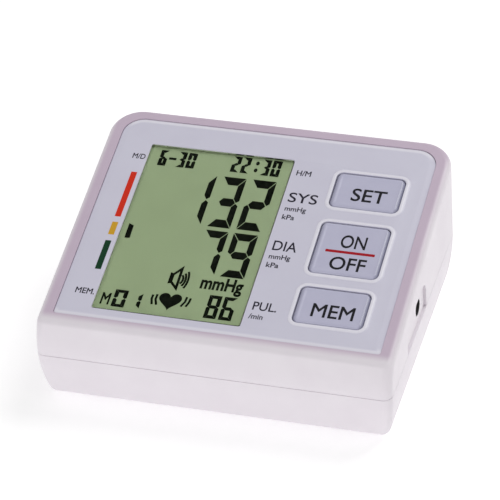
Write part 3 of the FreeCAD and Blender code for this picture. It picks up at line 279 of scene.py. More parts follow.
# %% [markdown]
# ## The sloping top as a drawing board
# Everything printed lies on the sloping top, so it is drawn in flat coordinates: x across, s up the slope
# from the front rim and n out of it, all in millimetres. Turning and moving each finished object would work
# too, but the export wants objects that are unturned, so one function lifts the points themselves.

# %% Slope coordinates
MM = 0.001
TILT = math.radians(11.3)
RIM_Y, RIM_Z = -52.184, 34.6
PANEL_LEVEL, GLASS_LEVEL, KEY_LEVEL = -0.2, -2.05, 0.27


def to_slope(points):
    """Points (x, s, n) in millimetres on the slope, as room coordinates in metres. y is the rim's y plus
    s times the tilt's cosine minus n times its sine, and z is the rim's z plus s sine plus n cosine."""
    x, s, n = np.asarray(points, float).T
    y = RIM_Y + s * math.cos(TILT) - n * math.sin(TILT)
    z = RIM_Z + s * math.sin(TILT) + n * math.cos(TILT)
    return np.stack((x, y, z), 1) * MM


low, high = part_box("front_panel")
print("panel from", to_slope([(-61.3, 5.0, PANEL_LEVEL)]).round(4), "in box", tuple(low), tuple(high))

# %% [markdown]
# ## From points to a piece
# Every new piece goes the same way: points and faces into a mesh, the mesh into an object at the origin, and
# the object onto the body that it moves with. The mesh holds the place, so the object stays unturned.

# %% Meshes
def add_mesh(name, points, faces, finish, body, crease=None):
    """Puts points in metres and faces into a mesh object that rides on a body. Where crease is given, the
    surface is shaded smooth, except over edges that turn more than this many degrees."""
    mesh = bpy.data.meshes.new(name)
    mesh.from_pydata(np.asarray(points).tolist(), [], faces)
    mesh.materials.append(finish)
    mesh.validate()
    if crease:
        mesh.polygons.foreach_set("use_smooth", np.full(len(mesh.polygons), True))
        mesh.set_sharp_from_angle(angle=math.radians(crease))
    made = bpy.data.objects.new(name, mesh)
    scene.collection.objects.link(made)
    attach(made, body)
    return made


# %% [markdown]
# ## Print
# Print could be a picture laid over the panel, but then it would blur close up and have no edge. Here it is
# a film of ink with a real, if tiny, thickness, and it starts a little below the surface, so that no light
# gets under it. A filled shape becomes a flat plate: its outline is copied at two levels and the sides are
# closed.

# %% Plates
INK, SUNK = 0.03, 0.008


def ink_film(level):
    """The lower and the upper level of a film of ink on a surface."""
    return level - SUNK, level + INK


def plate(outline, level):
    """A closed flat film on a level. The outline (x, s) is turned to run anticlockwise, by the sign of its
    area, which is half the sum of x1 * s2 - x2 * s1."""
    flat = np.asarray(outline, float)
    following = np.roll(flat, -1, 0)
    if (flat[:, 0] * following[:, 1] - following[:, 0] * flat[:, 1]).sum() < 0:
        flat = flat[::-1]
    count = len(flat)
    points = np.concatenate([np.column_stack((flat, np.full(count, n))) for n in ink_film(level)])
    i = np.arange(count)
    j = np.roll(i, -1)
    sides = np.stack((i, j, j + count, i + count), 1)
    return points, [*sides.tolist(), (i + count).tolist(), i[::-1].tolist()]


def bar(x, s, level):
    """A plain rectangular film between two values of x and two of s."""
    return plate([(x[0], s[0]), (x[1], s[0]), (x[1], s[1]), (x[0], s[1])], level)


def add_print(name, shapes, finish, body, shift=(0, 0, 0)):
    """Joins flat shapes, each (points, faces) on the slope, into one printed piece, and shifts it."""
    points, faces, start = [], [], 0
    for these, loops in shapes:
        points.append(these)
        faces += [[start + index for index in loop] for loop in loops]
        start += len(these)
    add_mesh(name, to_slope(np.concatenate(points) + shift), faces, finish, body)
    print(name, "shapes:", len(shapes), "faces:", len(faces))


print("film:", ink_film(PANEL_LEVEL), "faces of a bar:", len(bar((0, 1), (0, 1), PANEL_LEVEL)[1]))

# %% [markdown]
# ## Letters
# Screen printing keeps even strokes and clean corners, so the words are set in Blender's own plain
# sans-serif. The text object could thicken its own strokes, but that ties the sharp corners of an M into a
# knot. So each word becomes a mesh first, and then its side walls are moved outwards.

# %% Words
CURVE_STEPS = 5
WELD = 0.0005
SHARPEST = 0.4


def text_mesh(text, swell=0.0):
    """A word as points and faces. The letters lie in the first two axes and reach from -1 to 1 in the
    third. swell moves every outline outwards along the mitre of its two walls, m = (n1 + n2) / (1 + n1.n2),
    which makes the strokes bolder. The mitre is held back at sharp tips."""
    curve = bpy.data.curves.new("word", "FONT")
    curve.body, curve.extrude, curve.resolution_u = text, 1.0, CURVE_STEPS
    holder = bpy.data.objects.new("word", curve)
    scene.collection.objects.link(holder)
    mesh = bpy.data.meshes.new_from_object(holder.evaluated_get(bpy.context.evaluated_depsgraph_get()))
    form = bmesh.new()
    form.from_mesh(mesh)
    bmesh.ops.remove_doubles(form, verts=form.verts, dist=WELD)
    bmesh.ops.recalc_face_normals(form, faces=form.faces)
    form.to_mesh(mesh)
    form.free()
    points, normals = np.empty((len(mesh.vertices), 3)), np.empty((len(mesh.polygons), 3))
    corners, sides = np.empty(len(mesh.loops), int), np.empty(len(mesh.polygons), int)
    mesh.vertices.foreach_get("co", points.ravel())
    mesh.polygons.foreach_get("normal", normals.ravel())
    mesh.polygons.foreach_get("loop_total", sides)
    mesh.loops.foreach_get("vertex_index", corners)
    bpy.data.objects.remove(holder)
    bpy.data.curves.remove(curve)
    bpy.data.meshes.remove(mesh)
    outwards = np.repeat(normals, sides, 0)
    wall = np.abs(outwards[:, 2]) < 0.5
    mitre = np.zeros_like(points)
    np.add.at(mitre, corners[wall], outwards[wall])
    points += swell * mitre / np.maximum((mitre ** 2).sum(1) / 2, SHARPEST)[:, None]
    return points, [loop.tolist() for loop in np.split(corners, np.cumsum(sides)[:-1])]


CAPITAL = text_mesh("H")[0][:, 1].max()


def words(text, x, s, level, swell=0.0):
    """Sets text between the two values of x, from its baseline s[0] to the top of its capitals s[1]."""
    points, faces = text_mesh(text, swell)
    low, high = points[:, 0].min(), points[:, 0].max()
    across = x[0] + (points[:, 0] - low) / (high - low) * (x[1] - x[0])
    along = s[0] + points[:, 1] / CAPITAL * (s[1] - s[0])
    return np.stack((across, along, level - SUNK + INK * (points[:, 2] + 1) / 2), 1), faces


print("height of a capital:", round(float(CAPITAL), 3))

# %% [markdown]
# ## Inks
# Screen ink is matt and a little uneven, because the mesh of the screen lays it down in tiny dots. A single
# flat colour would look like a hole, so a fine noise lightens it by a hair and roughens its gloss.

# %% Ink materials
DOT = 0.00018


def ink(name, colour, paler, rough=0.6, gloss=0.12):
    """Screen ink: a fine noise blends the colour towards paler, and varies the roughness with it."""
    made, tree = material(name)
    specks = tree.noise(DOT, 2.0)
    shade = tree.blend(specks.step(0.35, 0.75) * 0.5, srgb(*colour), srgb(*paler))
    tree.surface({"Base Color": shade, "Roughness": rough + (specks - 0.5) * 0.2,
                  "Specular IOR Level": gloss})
    return made


label_ink = ink("label_ink", (36, 33, 45), (52, 49, 63))
legend_ink = ink("legend_ink", (16, 16, 20), (30, 30, 36))
display_ink = ink("display_ink", (14, 16, 13), (26, 30, 23), rough=0.5, gloss=0.0)
INKS = {
    "high": ink("red_ink", (204, 40, 20), (214, 66, 40)),
    "raised": ink("amber_ink", (200, 152, 38), (214, 172, 66)),
    "normal": ink("green_ink", (2, 48, 24), (12, 62, 36)),
    "line": ink("key_line_ink", (158, 18, 28), (180, 40, 48)),
}
print("inks:", 3 + len(INKS))

# %% [markdown]
# ## Words and colour bars on the panel
# The labels name the rows of figures beside them. The three bars on the left are the pressure scale: the
# mark in the display stops beside red, amber or green.

# %% Panel printing
BOLDER = 0.038                       # swell of a label 1 mm high; a taller one needs that much less
# text, its two values of x, its baseline and the top of its capitals
LABELS = [
    ("M/D", (-53.9, -48.9), (84.1, 86.6)), ("H/M", (10.4, 16.0), (84.9, 87.4)),
    ("SYS", (10.4, 21.5), (71.4, 76.0)), ("mmHg", (10.4, 18.5), (66.9, 69.1)),
    ("kPa", (10.4, 15.1), (62.6, 64.9)), ("DIA", (10.6, 19.7), (47.2, 51.8)),
    ("mmHg", (10.4, 18.5), (43.0, 45.2)), ("kPa", (10.4, 15.1), (38.8, 41.1)),
    ("PUL.", (10.6, 19.6), (18.1, 21.9)), ("/min", (10.2, 15.5), (13.9, 16.2)),
    ("MEM.", (-56.2, -48.9), (15.7, 18.3)),
]
add_print("panel_words", [words(text, x, s, PANEL_LEVEL, BOLDER / (s[1] - s[0])) for text, x, s in LABELS],
          label_ink, "housing")

SCALE_X = (-52.1, -49.8)
SCALE = {"high": (54.2, 77.1), "raised": (45.1, 51.4), "normal": (27.9, 42.1)}
for name, s in SCALE.items():
    add_print(name + "_bar", [bar(SCALE_X, s, PANEL_LEVEL)], INKS[name], "housing")

# %% [markdown]
# ## Legends on the keys
# The legends are printed on the flat middles of the keys, so they ride with the keys when these are
# pressed.

# %% Key legends
LEGEND_SWELL = 0.012
LEGENDS = {
    "set": [("SET", (33.6, 46.8), (75.2, 81.2))],
    "power": [("ON", (35.1, 44.7), (52.0, 58.0)), ("OFF", (33.3, 46.8), (41.3, 47.2))],
    "memory": [("MEM", (32.3, 48.1), (18.2, 24.2))],
}
POWER_LINE = ((30.4, 49.0), (49.2, 50.4))
for name, lines in LEGENDS.items():
    add_print(name + "_legend", [words(text, x, s, KEY_LEVEL, LEGEND_SWELL) for text, x, s in lines],
              legend_ink, name + "_button")
add_print("power_line", [bar(*POWER_LINE, KEY_LEVEL)], INKS["line"], "power_button")

# %% [markdown]
# ## Figures in the display
# A display figure is seven bars. Each bar has mitred ends, and thin clear gaps keep the bars apart, because
# each one is a separate electrode. A font could imitate them, but bars can be given the width and height
# that each figure has. They are drawn touching, and then every edge is moved inwards.

# %% Seven bars
BARS_OF = {"0": "abcdef", "1": "bc", "2": "abged", "3": "abgcd", "6": "afgecd", "7": "abc", "8": "abcdefg",
           "9": "abcdfg"}
NICK = 0.3                           # how far off the middle an upright bar's outer edge ends, in level bars


def inset(outline, gap):
    """Moves every edge of a convex outline inwards by gap, and takes the new corners where neighbouring
    edges cross: p + t d, with t from the cross product of the offset and the next direction."""
    flat = np.asarray(outline, float)
    edge = np.roll(flat, -1, 0) - flat
    edge /= np.linalg.norm(edge, axis=1, keepdims=True)
    inward = np.stack((-edge[:, 1], edge[:, 0]), 1)
    if ((flat.mean(0) - flat[0]) @ inward[0]) < 0:
        inward = -inward
    start = flat + inward * gap
    before, along = np.roll(start, 1, 0), np.roll(edge, 1, 0)
    cross = along[:, 0] * edge[:, 1] - along[:, 1] * edge[:, 0]
    offset = start - before
    t = (offset[:, 0] * edge[:, 1] - offset[:, 1] * edge[:, 0]) / cross
    return before + along * t[:, None]


def figure(digit, x, s, thick_x, thick_y, gap):
    """The bars of one digit in the box x by s. thick_x is the width of the upright bars and thick_y the
    height of the level ones. a is on top, then clockwise to f, and g is the middle bar."""
    w, h = x[1] - x[0], s[1] - s[0]
    u, v, m, k = thick_x, thick_y, h / 2, NICK * thick_y
    outlines = {
        "a": [(0, h), (w, h), (w - u, h - v), (u, h - v)],
        "b": [(w, h), (w, m + k), (w - u / 2, m), (w - u, m + v / 2), (w - u, h - v)],
        "c": [(w, 0), (w, m - k), (w - u / 2, m), (w - u, m - v / 2), (w - u, v)],
        "d": [(0, 0), (w, 0), (w - u, v), (u, v)],
        "e": [(0, 0), (0, m - k), (u / 2, m), (u, m - v / 2), (u, v)],
        "f": [(0, h), (0, m + k), (u / 2, m), (u, m + v / 2), (u, h - v)],
        "g": [(u / 2, m), (u, m + v / 2), (w - u, m + v / 2), (w - u / 2, m), (w - u, m - v / 2),
              (u, m - v / 2)],
    }
    return [plate(inset(outlines[name], gap) + (x[0], s[0]), GLASS_LEVEL) for name in BARS_OF[digit]]


print("bars of an eight:", len(BARS_OF["8"]))

# %% [markdown]
# The display shows the date and the time, the three readings, a unit, a memory number and two signs, as
# such a monitor does after a measurement. Each figure is given the space it fills.
#
# The window bends the view. Under acrylic of refractive index 1.49 that is 1.6 mm thick, a mark looks
# 0.64 mm further away than it is when it is seen at 42 degrees. The sizes below are as the eye finds them,
# so the marks stand that much nearer.

# %% Display figures
BENT = (0.20, -0.61, 0.0)
# digit, its two values of x and of s, the width of its upright bars and the height of its level ones
FIGURES = [
    ("6", (-44.1, -40.9), (83.5, 91.4), 1.45, 1.40), ("3", (-36.9, -33.7), (83.6, 91.5), 1.45, 1.40),
    ("0", (-33.1, -29.7), (83.7, 91.5), 1.45, 1.40),
    ("2", (-15.6, -12.3), (84.4, 92.4), 1.45, 1.40), ("2", (-11.7, -8.5), (84.4, 92.4), 1.45, 1.40),
    ("3", (-3.9, -0.7), (84.4, 92.4), 1.45, 1.40), ("0", (-0.1, 3.4), (84.4, 92.5), 1.45, 1.40),
    ("1", (-28.7, -19.4), (56.4, 81.9), 2.65, 4.2), ("3", (-17.1, -7.9), (56.2, 81.8), 2.65, 4.2),
    ("2", (-5.8, 3.8), (56.4, 82.0), 2.65, 4.2),
    ("7", (-16.9, -7.8), (33.1, 54.7), 2.65, 3.75), ("9", (-6.0, 3.6), (33.0, 54.8), 2.65, 3.75),
    ("8", (-6.8, -2.0), (12.9, 23.9), 1.55, 1.6), ("6", (-1.1, 3.8), (12.9, 23.9), 1.55, 1.6),
    ("0", (-41.9, -36.9), (12.8, 21.0), 1.6, 1.4), ("1", (-36.2, -31.2), (13.3, 20.4), 1.5, 1.4),
]
NARROW = 2.0                         # upright bars narrower than this belong to a small figure
SMALL_GAP, LARGE_GAP = 0.012, 0.05   # clear gap along each edge, as a share of the upright bar's width
DASH = ((-40.3, -37.4), (86.9, 88.05))
COLON, COLON_RADII = ((-5.9, 86.5), (-5.9, 90.1)), (0.7, 1.0)
UNIT, MEMORY_SIGN = ((-11.7, 4.3), (26.6, 32.2)), ((-46.3, -42.9), (13.5, 18.7))
UNIT_SWELL, MEMORY_SWELL = 0.035, 0.025
MARK = [(-46.2, 53.2), (-44.2, 52.3), (-44.1, 46.1), (-46.1, 45.9)]


def arc(centre, radii, start, end, steps=14):
    """Points on an ellipse: centre + (rx cos a, ry sin a) as a goes from start to end, in degrees."""
    a = np.radians(np.linspace(start, end, steps))
    return np.column_stack((centre[0] + radii[0] * np.cos(a), centre[1] + radii[1] * np.sin(a)))


shapes = []
for digit, x, s, thick_x, thick_y in FIGURES:
    share = SMALL_GAP if thick_x < NARROW else LARGE_GAP
    shapes += figure(digit, x, s, thick_x, thick_y, share * thick_x)
shapes += [bar(*DASH, GLASS_LEVEL), plate(MARK, GLASS_LEVEL)]
shapes += [plate(arc(dot, COLON_RADII, 0, 345, 24), GLASS_LEVEL) for dot in COLON]
shapes += [words("mmHg", *UNIT, GLASS_LEVEL, UNIT_SWELL), words("M", *MEMORY_SIGN, GLASS_LEVEL, MEMORY_SWELL)]
add_print("display_figures", shapes, display_ink, "housing", BENT)

# %% [markdown]
# The heart is a well-known closed curve, x = 16 sin^3 t and y = 13 cos t - 5 cos 2t - 2 cos 3t - cos 4t.
# The pulse marks beside it are bent strokes and the sound marks are arcs. The loudspeaker is a solid magnet
# with an open horn. A stroke is a ribbon: a flat rectangle carried along the stroke's centre line, with
# mitred corners.

# %% Display signs
def ribbon(path, width, level, closed=False):
    """A stroke of even width. Each point moves half the width to both sides along the mitre of its two
    neighbouring normals, m = (n1 + n2) / (1 + n1 . n2), and the rectangle between runs along the path."""
    path = np.asarray(path, float)
    ahead = np.roll(path, -1, 0) - path
    if not closed:
        ahead[-1] = ahead[-2]
    ahead /= np.linalg.norm(ahead, axis=1, keepdims=True)
    normal = np.stack((-ahead[:, 1], ahead[:, 0]), 1)
    before = np.roll(normal, 1, 0)
    if not closed:
        before[0] = normal[0]
    mitre = (before + normal) / (1 + (before * normal).sum(1, keepdims=True)).clip(0.12)
    left, right = path + mitre * width / 2, path - mitre * width / 2
    base, top = ink_film(level)
    count = len(path)
    rings = [np.column_stack((edge, np.full(count, n)))
             for edge, n in ((left, base), (right, base), (right, top), (left, top))]
    i = np.arange(count if closed else count - 1)
    j = (i + 1) % count
    faces = [np.stack((4 * i + k, 4 * j + k, 4 * j + (k + 1) % 4, 4 * i + (k + 1) % 4), 1)[:, ::-1]
             for k in range(4)]
    faces = np.concatenate(faces).tolist()
    if not closed:
        faces += [[0, 1, 2, 3], [4 * count - 1, 4 * count - 2, 4 * count - 3, 4 * count - 4]]
    return np.stack(rings, 1).reshape(-1, 3), faces


HEART = ((-25.1, 14.1), (-16.5, 22.2))
t = np.linspace(0, 2 * math.pi, 64, endpoint=False)
curve = np.column_stack((16 * np.sin(t) ** 3,
                         13 * np.cos(t) - 5 * np.cos(2 * t) - 2 * np.cos(3 * t) - np.cos(4 * t)))
heart = HEART[0] + (curve - curve.min(0)) / np.ptp(curve, axis=0) * np.subtract(HEART[1], HEART[0])
PULSES = [
    [(-27.6, 20.7), (-27.7, 18.7), (-27.0, 16.1)], [(-26.1, 21.1), (-26.2, 18.7), (-25.3, 16.1)],
    [(-14.9, 21.5), (-15.1, 19.1), (-16.2, 16.7)], [(-13.4, 21.1), (-13.6, 19.1), (-14.3, 16.9)],
]
MAGNET = [(-24.0, 32.2), (-22.5, 31.8), (-22.5, 27.2), (-24.0, 26.7)]
HORN = [(-22.9, 31.2), (-20.3, 34.6), (-20.2, 24.9), (-22.9, 27.8)]
# centre and radii of each arc
SOUNDS = [((-20.98, 29.4), (2.27, 2.8)), ((-20.02, 29.4), (2.27, 4.1)), ((-19.06, 29.4), (2.27, 5.4))]
SOUND_TURN = 48
HORN_STROKE, PULSE_STROKE, SOUND_STROKE = 1.0, 0.87, 0.84
signs = [plate(heart, GLASS_LEVEL), plate(MAGNET, GLASS_LEVEL),
         ribbon(HORN, HORN_STROKE, GLASS_LEVEL, closed=True)]
signs += [ribbon(path, PULSE_STROKE, GLASS_LEVEL) for path in PULSES]
signs += [ribbon(arc(centre, radii, -SOUND_TURN, SOUND_TURN), SOUND_STROKE, GLASS_LEVEL)
          for centre, radii in SOUNDS]
add_print("display_signs", signs, display_ink, "housing", BENT)

# %% [markdown]
# ## Finishes of the moulded parts
# A moulding has one colour all through. What the eye reads as plastic is the rest: a fine spark-eroded
# grain from the mould, a slightly uneven gloss, and tone that drifts a little where the melt flowed. The
# grain is far too fine to be modelled, so it is a bump.

# %% Moulded plastic
SHIMMER = 0.012
GRAIN_DEPTH = 0.00002


def drifting(drift, colour, deeper):
    """A colour that goes up to 0.6 of the way to deeper where the slow noise drift is high."""
    return drift.tree.blend(drift.step(0.3, 0.8) * 0.6, srgb(*colour), srgb(*deeper))


def satin(tree, drift, shade, rough, vary, size, grain):
    """Ends a moulded plastic's tree: roughness goes with the drift by vary, and the grain is a bump made
    from noise of two sizes, 0.6 of one of size metres and 0.4 of one three times coarser."""
    height = tree.noise(size, 1.0) * 0.6 + tree.noise(size * 3, 2.0) * 0.4
    tree.surface({"Base Color": shade, "Roughness": rough + (drift - 0.5) * vary,
                  "Normal": tree.bump(height, grain, GRAIN_DEPTH)})


def moulded(name, colour, deeper, size=0.00035, grain=0.25, rough=0.45, vary=0.10):
    """A plain moulded plastic or film whose colour drifts slowly towards deeper."""
    made, tree = material(name)
    drift = tree.noise(SHIMMER, 3.0)
    satin(tree, drift, drifting(drift, colour, deeper), rough, vary, size, grain)
    return made


print("grain drift over", SHIMMER * 1000, "mm")

# %% [markdown]
# The case is satin plastic, pinkish white on its walls. Its rim round the panel is painted a deeper lilac:
# partly a tone of the plastic's own, and partly painted shade, because the sloping top faces away from the
# light at the front. This fades out over the rounded edge at the front and the sides. Paint masks or two
# objects could part the tones, but a fade needs only distances, all in millimetres here: n, how far a point
# is below the slope, s, how far up the slope it is, and x, how far it is from the middle.

# %% Case
DEPTH_FADE, FRONT_FADE, SIDE_FADE = (-2.2, -0.3), (1.3, 5.4), (64.0, 66.7)


def slope_place(tree):
    """x, s and n of a point of the piece as signals, in metres: s = (y - y0) cos + (z - z0) sin and
    n = (z - z0) cos - (y - y0) sin."""
    place = tree.node("ShaderNodeSeparateXYZ", None, {"Vector": tree.place()})
    x, y, z = (Signal(tree, place.socket.node.outputs[k]) for k in range(3))
    y, z = y - RIM_Y * MM, z - RIM_Z * MM
    return x, y * math.cos(TILT) + z * math.sin(TILT), z * math.cos(TILT) - y * math.sin(TILT)


def fade(distance, limits):
    """0 where a distance is below the first limit and 1 above the second, both in millimetres."""
    return distance.step(limits[0] * MM, limits[1] * MM)


case_plastic, tree = material("case_plastic")
x, s, n = slope_place(tree)
# painted shade: the rim's deeper lilac is partly its own tone and partly painted shade of the sloping top
rim = fade(n, DEPTH_FADE) * fade(s, FRONT_FADE) * (1 - fade(x.math("ABSOLUTE"), SIDE_FADE))
drift = tree.noise(SHIMMER, 3.0)
wall = drifting(drift, (226, 220, 226), (221, 214, 221))
lilac_and_shade = drifting(drift, (195, 178, 195), (190, 173, 190))
satin(tree, drift, tree.blend(rim, wall, lilac_and_shade), rough=0.42, vary=0.1, size=0.0004, grain=0.2)
print("case:", case_plastic.name)

# %% [markdown]
# The panel is smoother and bluer than the case. The rings round its keys and the bevels at its front and
# rear are painted a little paler: a painted highlight, where these slopes catch the light from the front and
# from behind. The rings stand above the panel and the bevels fall below it, so n alone finds the rings, and
# n with s finds the bevels.

# %% Panel plastic
RING_FADE, BEVEL_FADE = (-0.15, 0.1), (-0.34, -0.23)
REAR_BEVEL, FRONT_BEVEL = (99.0, 102.5), (6.0, 8.5)
panel_plastic, tree = material("panel_plastic")
x, s, n = slope_place(tree)
# painted highlight on the front and rear bevels and on the rings round the keys
bevel_highlight = (1 - fade(n, BEVEL_FADE)) * (fade(s, REAR_BEVEL) + (1 - fade(s, FRONT_BEVEL)))
raised = (fade(n, RING_FADE) + bevel_highlight).math("MINIMUM", 1.0)
drift = tree.noise(SHIMMER, 3.0)
face = drifting(drift, (204, 202, 217), (200, 197, 213))
# the paler colour is the painted highlight
satin(tree, drift, tree.blend(raised, face, srgb(224, 222, 232)), rough=0.36, vary=0.06, size=0.0003,
      grain=0.08)
print("panel:", panel_plastic.name)

# %% [markdown]
# The keys are smoky, slightly clear plastic. Their steep left and right sides are painted deeper than the
# cushion between them: painted shade, because these sides face away from the light, which comes from the
# front and from behind.

# %% Key plastic
KEY_X = (26.1, 52.3)
KEY_MIDDLE, KEY_HALF = (KEY_X[0] + KEY_X[1]) / 2, (KEY_X[1] - KEY_X[0]) / 2
key_plastic, tree = material("key_plastic")
x, s, n = slope_place(tree)
# painted shade on the steep left and right sides of each key
edge = fade((x - KEY_MIDDLE * MM).math("ABSOLUTE"), (KEY_HALF - 1.9, KEY_HALF - 0.7))
drift = tree.noise(SHIMMER / 2, 3.0)
face = drifting(drift, (185, 184, 206), (178, 177, 200))
# the deeper colour is the painted shade
satin(tree, drift, tree.blend(edge, face, srgb(152, 152, 174)), rough=0.24, vary=0.06, size=0.0006,
      grain=0.05)
print("keys:", key_plastic.name)

# %% [markdown]
# ## The other finishes
# Each part of the record names a slot, and each slot gets one finish here. What lies inside or under the
# case needs no more than its own colour, gloss and grain: rubber is dull and coarse, a cell's jacket is
# smooth, and the circuit board is green lacquer.

# %% Finishes by slot
# slot: name, colour, deeper colour, and where they differ from the usual ones the grain's size in metres,
# its strength, and the roughness
FINISHES = {
    "case_shell": case_plastic,
    "panel_plate": panel_plastic,
    "key_cap": key_plastic,
    "display_glass": moulded("display_film", (122, 137, 103), (117, 131, 98), 0.0005, 0.06, vary=0.08),
    "reflector": moulded("reflector_film", (126, 144, 106), (116, 134, 98), 0.0003, 0.2, 0.5),
    "inner_plastic": moulded("natural_nylon", (222, 222, 214), (210, 210, 200)),
    "dark_plastic": moulded("black_plastic", (40, 40, 43), (30, 30, 33)),
    "rubber_part": moulded("dark_rubber", (64, 64, 67), (52, 52, 55), 0.0005, 0.5, 0.85),
    "silicone": moulded("silicone_rubber", (216, 217, 210), (204, 206, 198), 0.0006, 0.1, 0.35),
    "chip_epoxy": moulded("chip_epoxy", (34, 34, 36), (28, 28, 30), 0.00015, 0.4, 0.6),
    "ferrite": moulded("ferrite", (58, 58, 60), (48, 48, 50), 0.0002, 0.5, 0.7),
    "cell_jacket": moulded("cell_jacket", (38, 66, 98), (30, 56, 86), 0.0008, 0.05, 0.25),
    "board_laminate": moulded("board_lacquer", (30, 98, 52), (22, 84, 44), 0.0006, 0.3, 0.3),
}
print("plastics:", len(FINISHES))

# %% [markdown]
# Metals are fully metallic. Drawn or rolled metal has fine lines along its length, which noise gives when it
# is stretched one way, and they show in the colour, the gloss and a slight bump.

# %% Metals
STRETCH = 50


def metal(name, colour, deeper, rough=0.3, line=0.0006):
    """Metal with fine drawn lines: noise of line metres, stretched fiftyfold along x."""
    made, tree = material(name)
    stretched = tree.node("ShaderNodeMapping", None, {"Vector": tree.place(), "Scale": (1 / STRETCH, 1, 1)})
    lines = tree.noise(line, 3.0, stretched)
    tree.surface({"Base Color": tree.blend(lines.step(0.3, 0.7), srgb(*colour), srgb(*deeper)),
                  "Metallic": 1.0, "Roughness": rough + (lines - 0.5) * 0.2,
                  "Normal": tree.bump(lines, 0.2, GRAIN_DEPTH / 2)})
    return made


FINISHES.update({
    "screw_steel": metal("zinc_plate", (205, 205, 208), (188, 188, 192)),
    "motor_steel": metal("nickel_can", (214, 214, 216), (198, 198, 202)),
    "contact_metal": metal("spring_strip", (222, 220, 214), (206, 204, 198), 0.2),
    "copper_wire": metal("enamelled_copper", (196, 116, 62), (172, 94, 46), 0.35, 0.0004),
    "brass_pin": metal("brass", (226, 196, 126), (208, 176, 104), 0.25),
    "can_aluminium": metal("drawn_aluminium", (218, 219, 221), (204, 205, 208), 0.35),
})
print("plastics and metals:", len(FINISHES))

# %% [markdown]
# The window is a clear acrylic plate, so it is glass with the refractive index of acrylic. Its two flat
# faces have a coat against glare, so they only bend the view, while its edges mirror the display from
# inside. Lamp light goes straight through, because a bent shadow ray would find no lamp.

# %% Window
LENS_MIDDLE, LENS_HALF = -1.1, 0.8
ACRYLIC_IOR = 1.49
clear_acrylic, tree = material("clear_acrylic")
x, s, n = slope_place(tree)
flat = fade((n - LENS_MIDDLE * MM).math("ABSOLUTE"), (LENS_HALF - 0.02, LENS_HALF - 0.005))
haze = tree.noise(0.004, 2.0)
edges = tree.node("ShaderNodeBsdfPrincipled", None,
                  {"Base Color": (0.97, 0.98, 0.96, 1), "Transmission Weight": 1.0, "IOR": ACRYLIC_IOR,
                   "Roughness": 0.015 + haze * 0.02})
coated = tree.node("ShaderNodeBsdfRefraction", None,
                   {"Color": (0.985, 0.99, 0.98, 1), "Roughness": 0.0, "IOR": ACRYLIC_IOR})
acrylic = tree.node("ShaderNodeMixShader", None, {0: flat, 1: edges, 2: coated})
straight = tree.node("ShaderNodeBsdfTransparent", None, {"Color": (0.95, 0.96, 0.95, 1)})
shadow = tree.node("ShaderNodeLightPath", out="Is Shadow Ray")
tree.finish(tree.node("ShaderNodeMixShader", None, {0: shadow, 1: acrylic, 2: straight}))
FINISHES["window"] = clear_acrylic
print("finishes:", len(FINISHES))

# %% [markdown]
# ## Shells with rounded corners
# The panel and the keys are thin mouldings with rounded corners, holes and soft edges. A block with bevelled
# edges would look machined, so the edges are drawn as smooth profiles: a profile of (inset, level) pairs is
# carried round a rounded rectangle, and the flat spaces between the loops are filled with triangles.

# %% Rounded rectangles
CORNER_STEPS = 10
TIGHT = 0.05


def rounded(limits, corner, inset):
    """Loops round a rectangle, one for each inset. A corner of radius r has its centre r inside both of
    its sides, and an inset loop has the same centres and a smaller radius, as long as any is left."""
    x0, x1, s0, s1 = limits
    inset = np.asarray(inset, float)[:, None]
    front, rear = (np.maximum(radius - inset, TIGHT) for radius in corner)
    quarter = np.radians(np.linspace(0, 90, CORNER_STEPS + 1))
    arcs = []
    for x, way_x, s, way_s, radius, start in ((x1, -1, s1, -1, rear, 0), (x0, 1, s1, -1, rear, 90),
                                              (x0, 1, s0, 1, front, 180), (x1, -1, s0, 1, front, 270)):
        a = quarter + math.radians(start)
        arcs.append(np.stack((x + way_x * (inset + radius) + radius * np.cos(a),
                              s + way_s * (inset + radius) + radius * np.sin(a)), -1))
    return np.concatenate(arcs, 1)


print("points of one loop:", rounded((0, 10, 0, 10), (2, 2), [0.0]).shape[1])

# %% [markdown]
# A shell gathers its loops as it goes. A sweep joins neighbouring loops by quads and gives back its first
# and last loop, and a fill closes the flat space between such loops, with holes or without.

# %% A shell
class Shell:
    """One closed surface on the slope, gathered loop by loop, as points (x, s, n) in millimetres."""

    def __init__(self):
        self.points, self.faces = np.empty((0, 3)), []

    def sweep(self, limits, corner, profile):
        """Carries a profile round a rounded rectangle, from outside to inside so that faces point out.
        Neighbouring loops are joined by quads. Gives the first and the last loop."""
        inset, level = np.asarray(profile, float).T
        flat = rounded(limits, corner, inset)
        count, around = flat.shape[:2]
        height = np.broadcast_to(level[:, None, None], (count, around, 1))
        index = len(self.points) + np.arange(count * around).reshape(count, around)
        self.points = np.concatenate((self.points, np.concatenate((flat, height), 2).reshape(-1, 3)))
        a, b = index[:-1], index[1:]
        quads = np.stack((a, np.roll(a, -1, 1), np.roll(b, -1, 1), b), -1)
        self.faces += quads.reshape(-1, 4).tolist()
        return index[0], index[-1]

    def fill(self, outer, holes=(), upwards=True):
        """Fills the flat space between a loop and its holes. Each triangle is turned to face up or down by
        the sign of its area, half of (b - a) x (c - a)."""
        loops = [outer, *holes]
        corners = [[Vector(point) for point in self.points[loop]] for loop in loops]
        triangles = np.concatenate(loops)[np.array(tessellate_polygon(corners))]
        a, b, c = (self.points[triangles[:, k], :2] for k in range(3))
        area = (b - a)[:, 0] * (c - a)[:, 1] - (b - a)[:, 1] * (c - a)[:, 0]
        wrong = (area < 0) == upwards
        triangles[wrong] = triangles[wrong, ::-1]
        self.faces += triangles.tolist()


def soft_rise(start, end, steps=7):
    """A smooth S from one (inset, level) to another: the level goes as t * t * (3 - 2 * t)."""
    t = np.linspace(0, 1, steps)
    return start + np.column_stack((t, t * t * (3 - 2 * t))) * np.subtract(end, start)


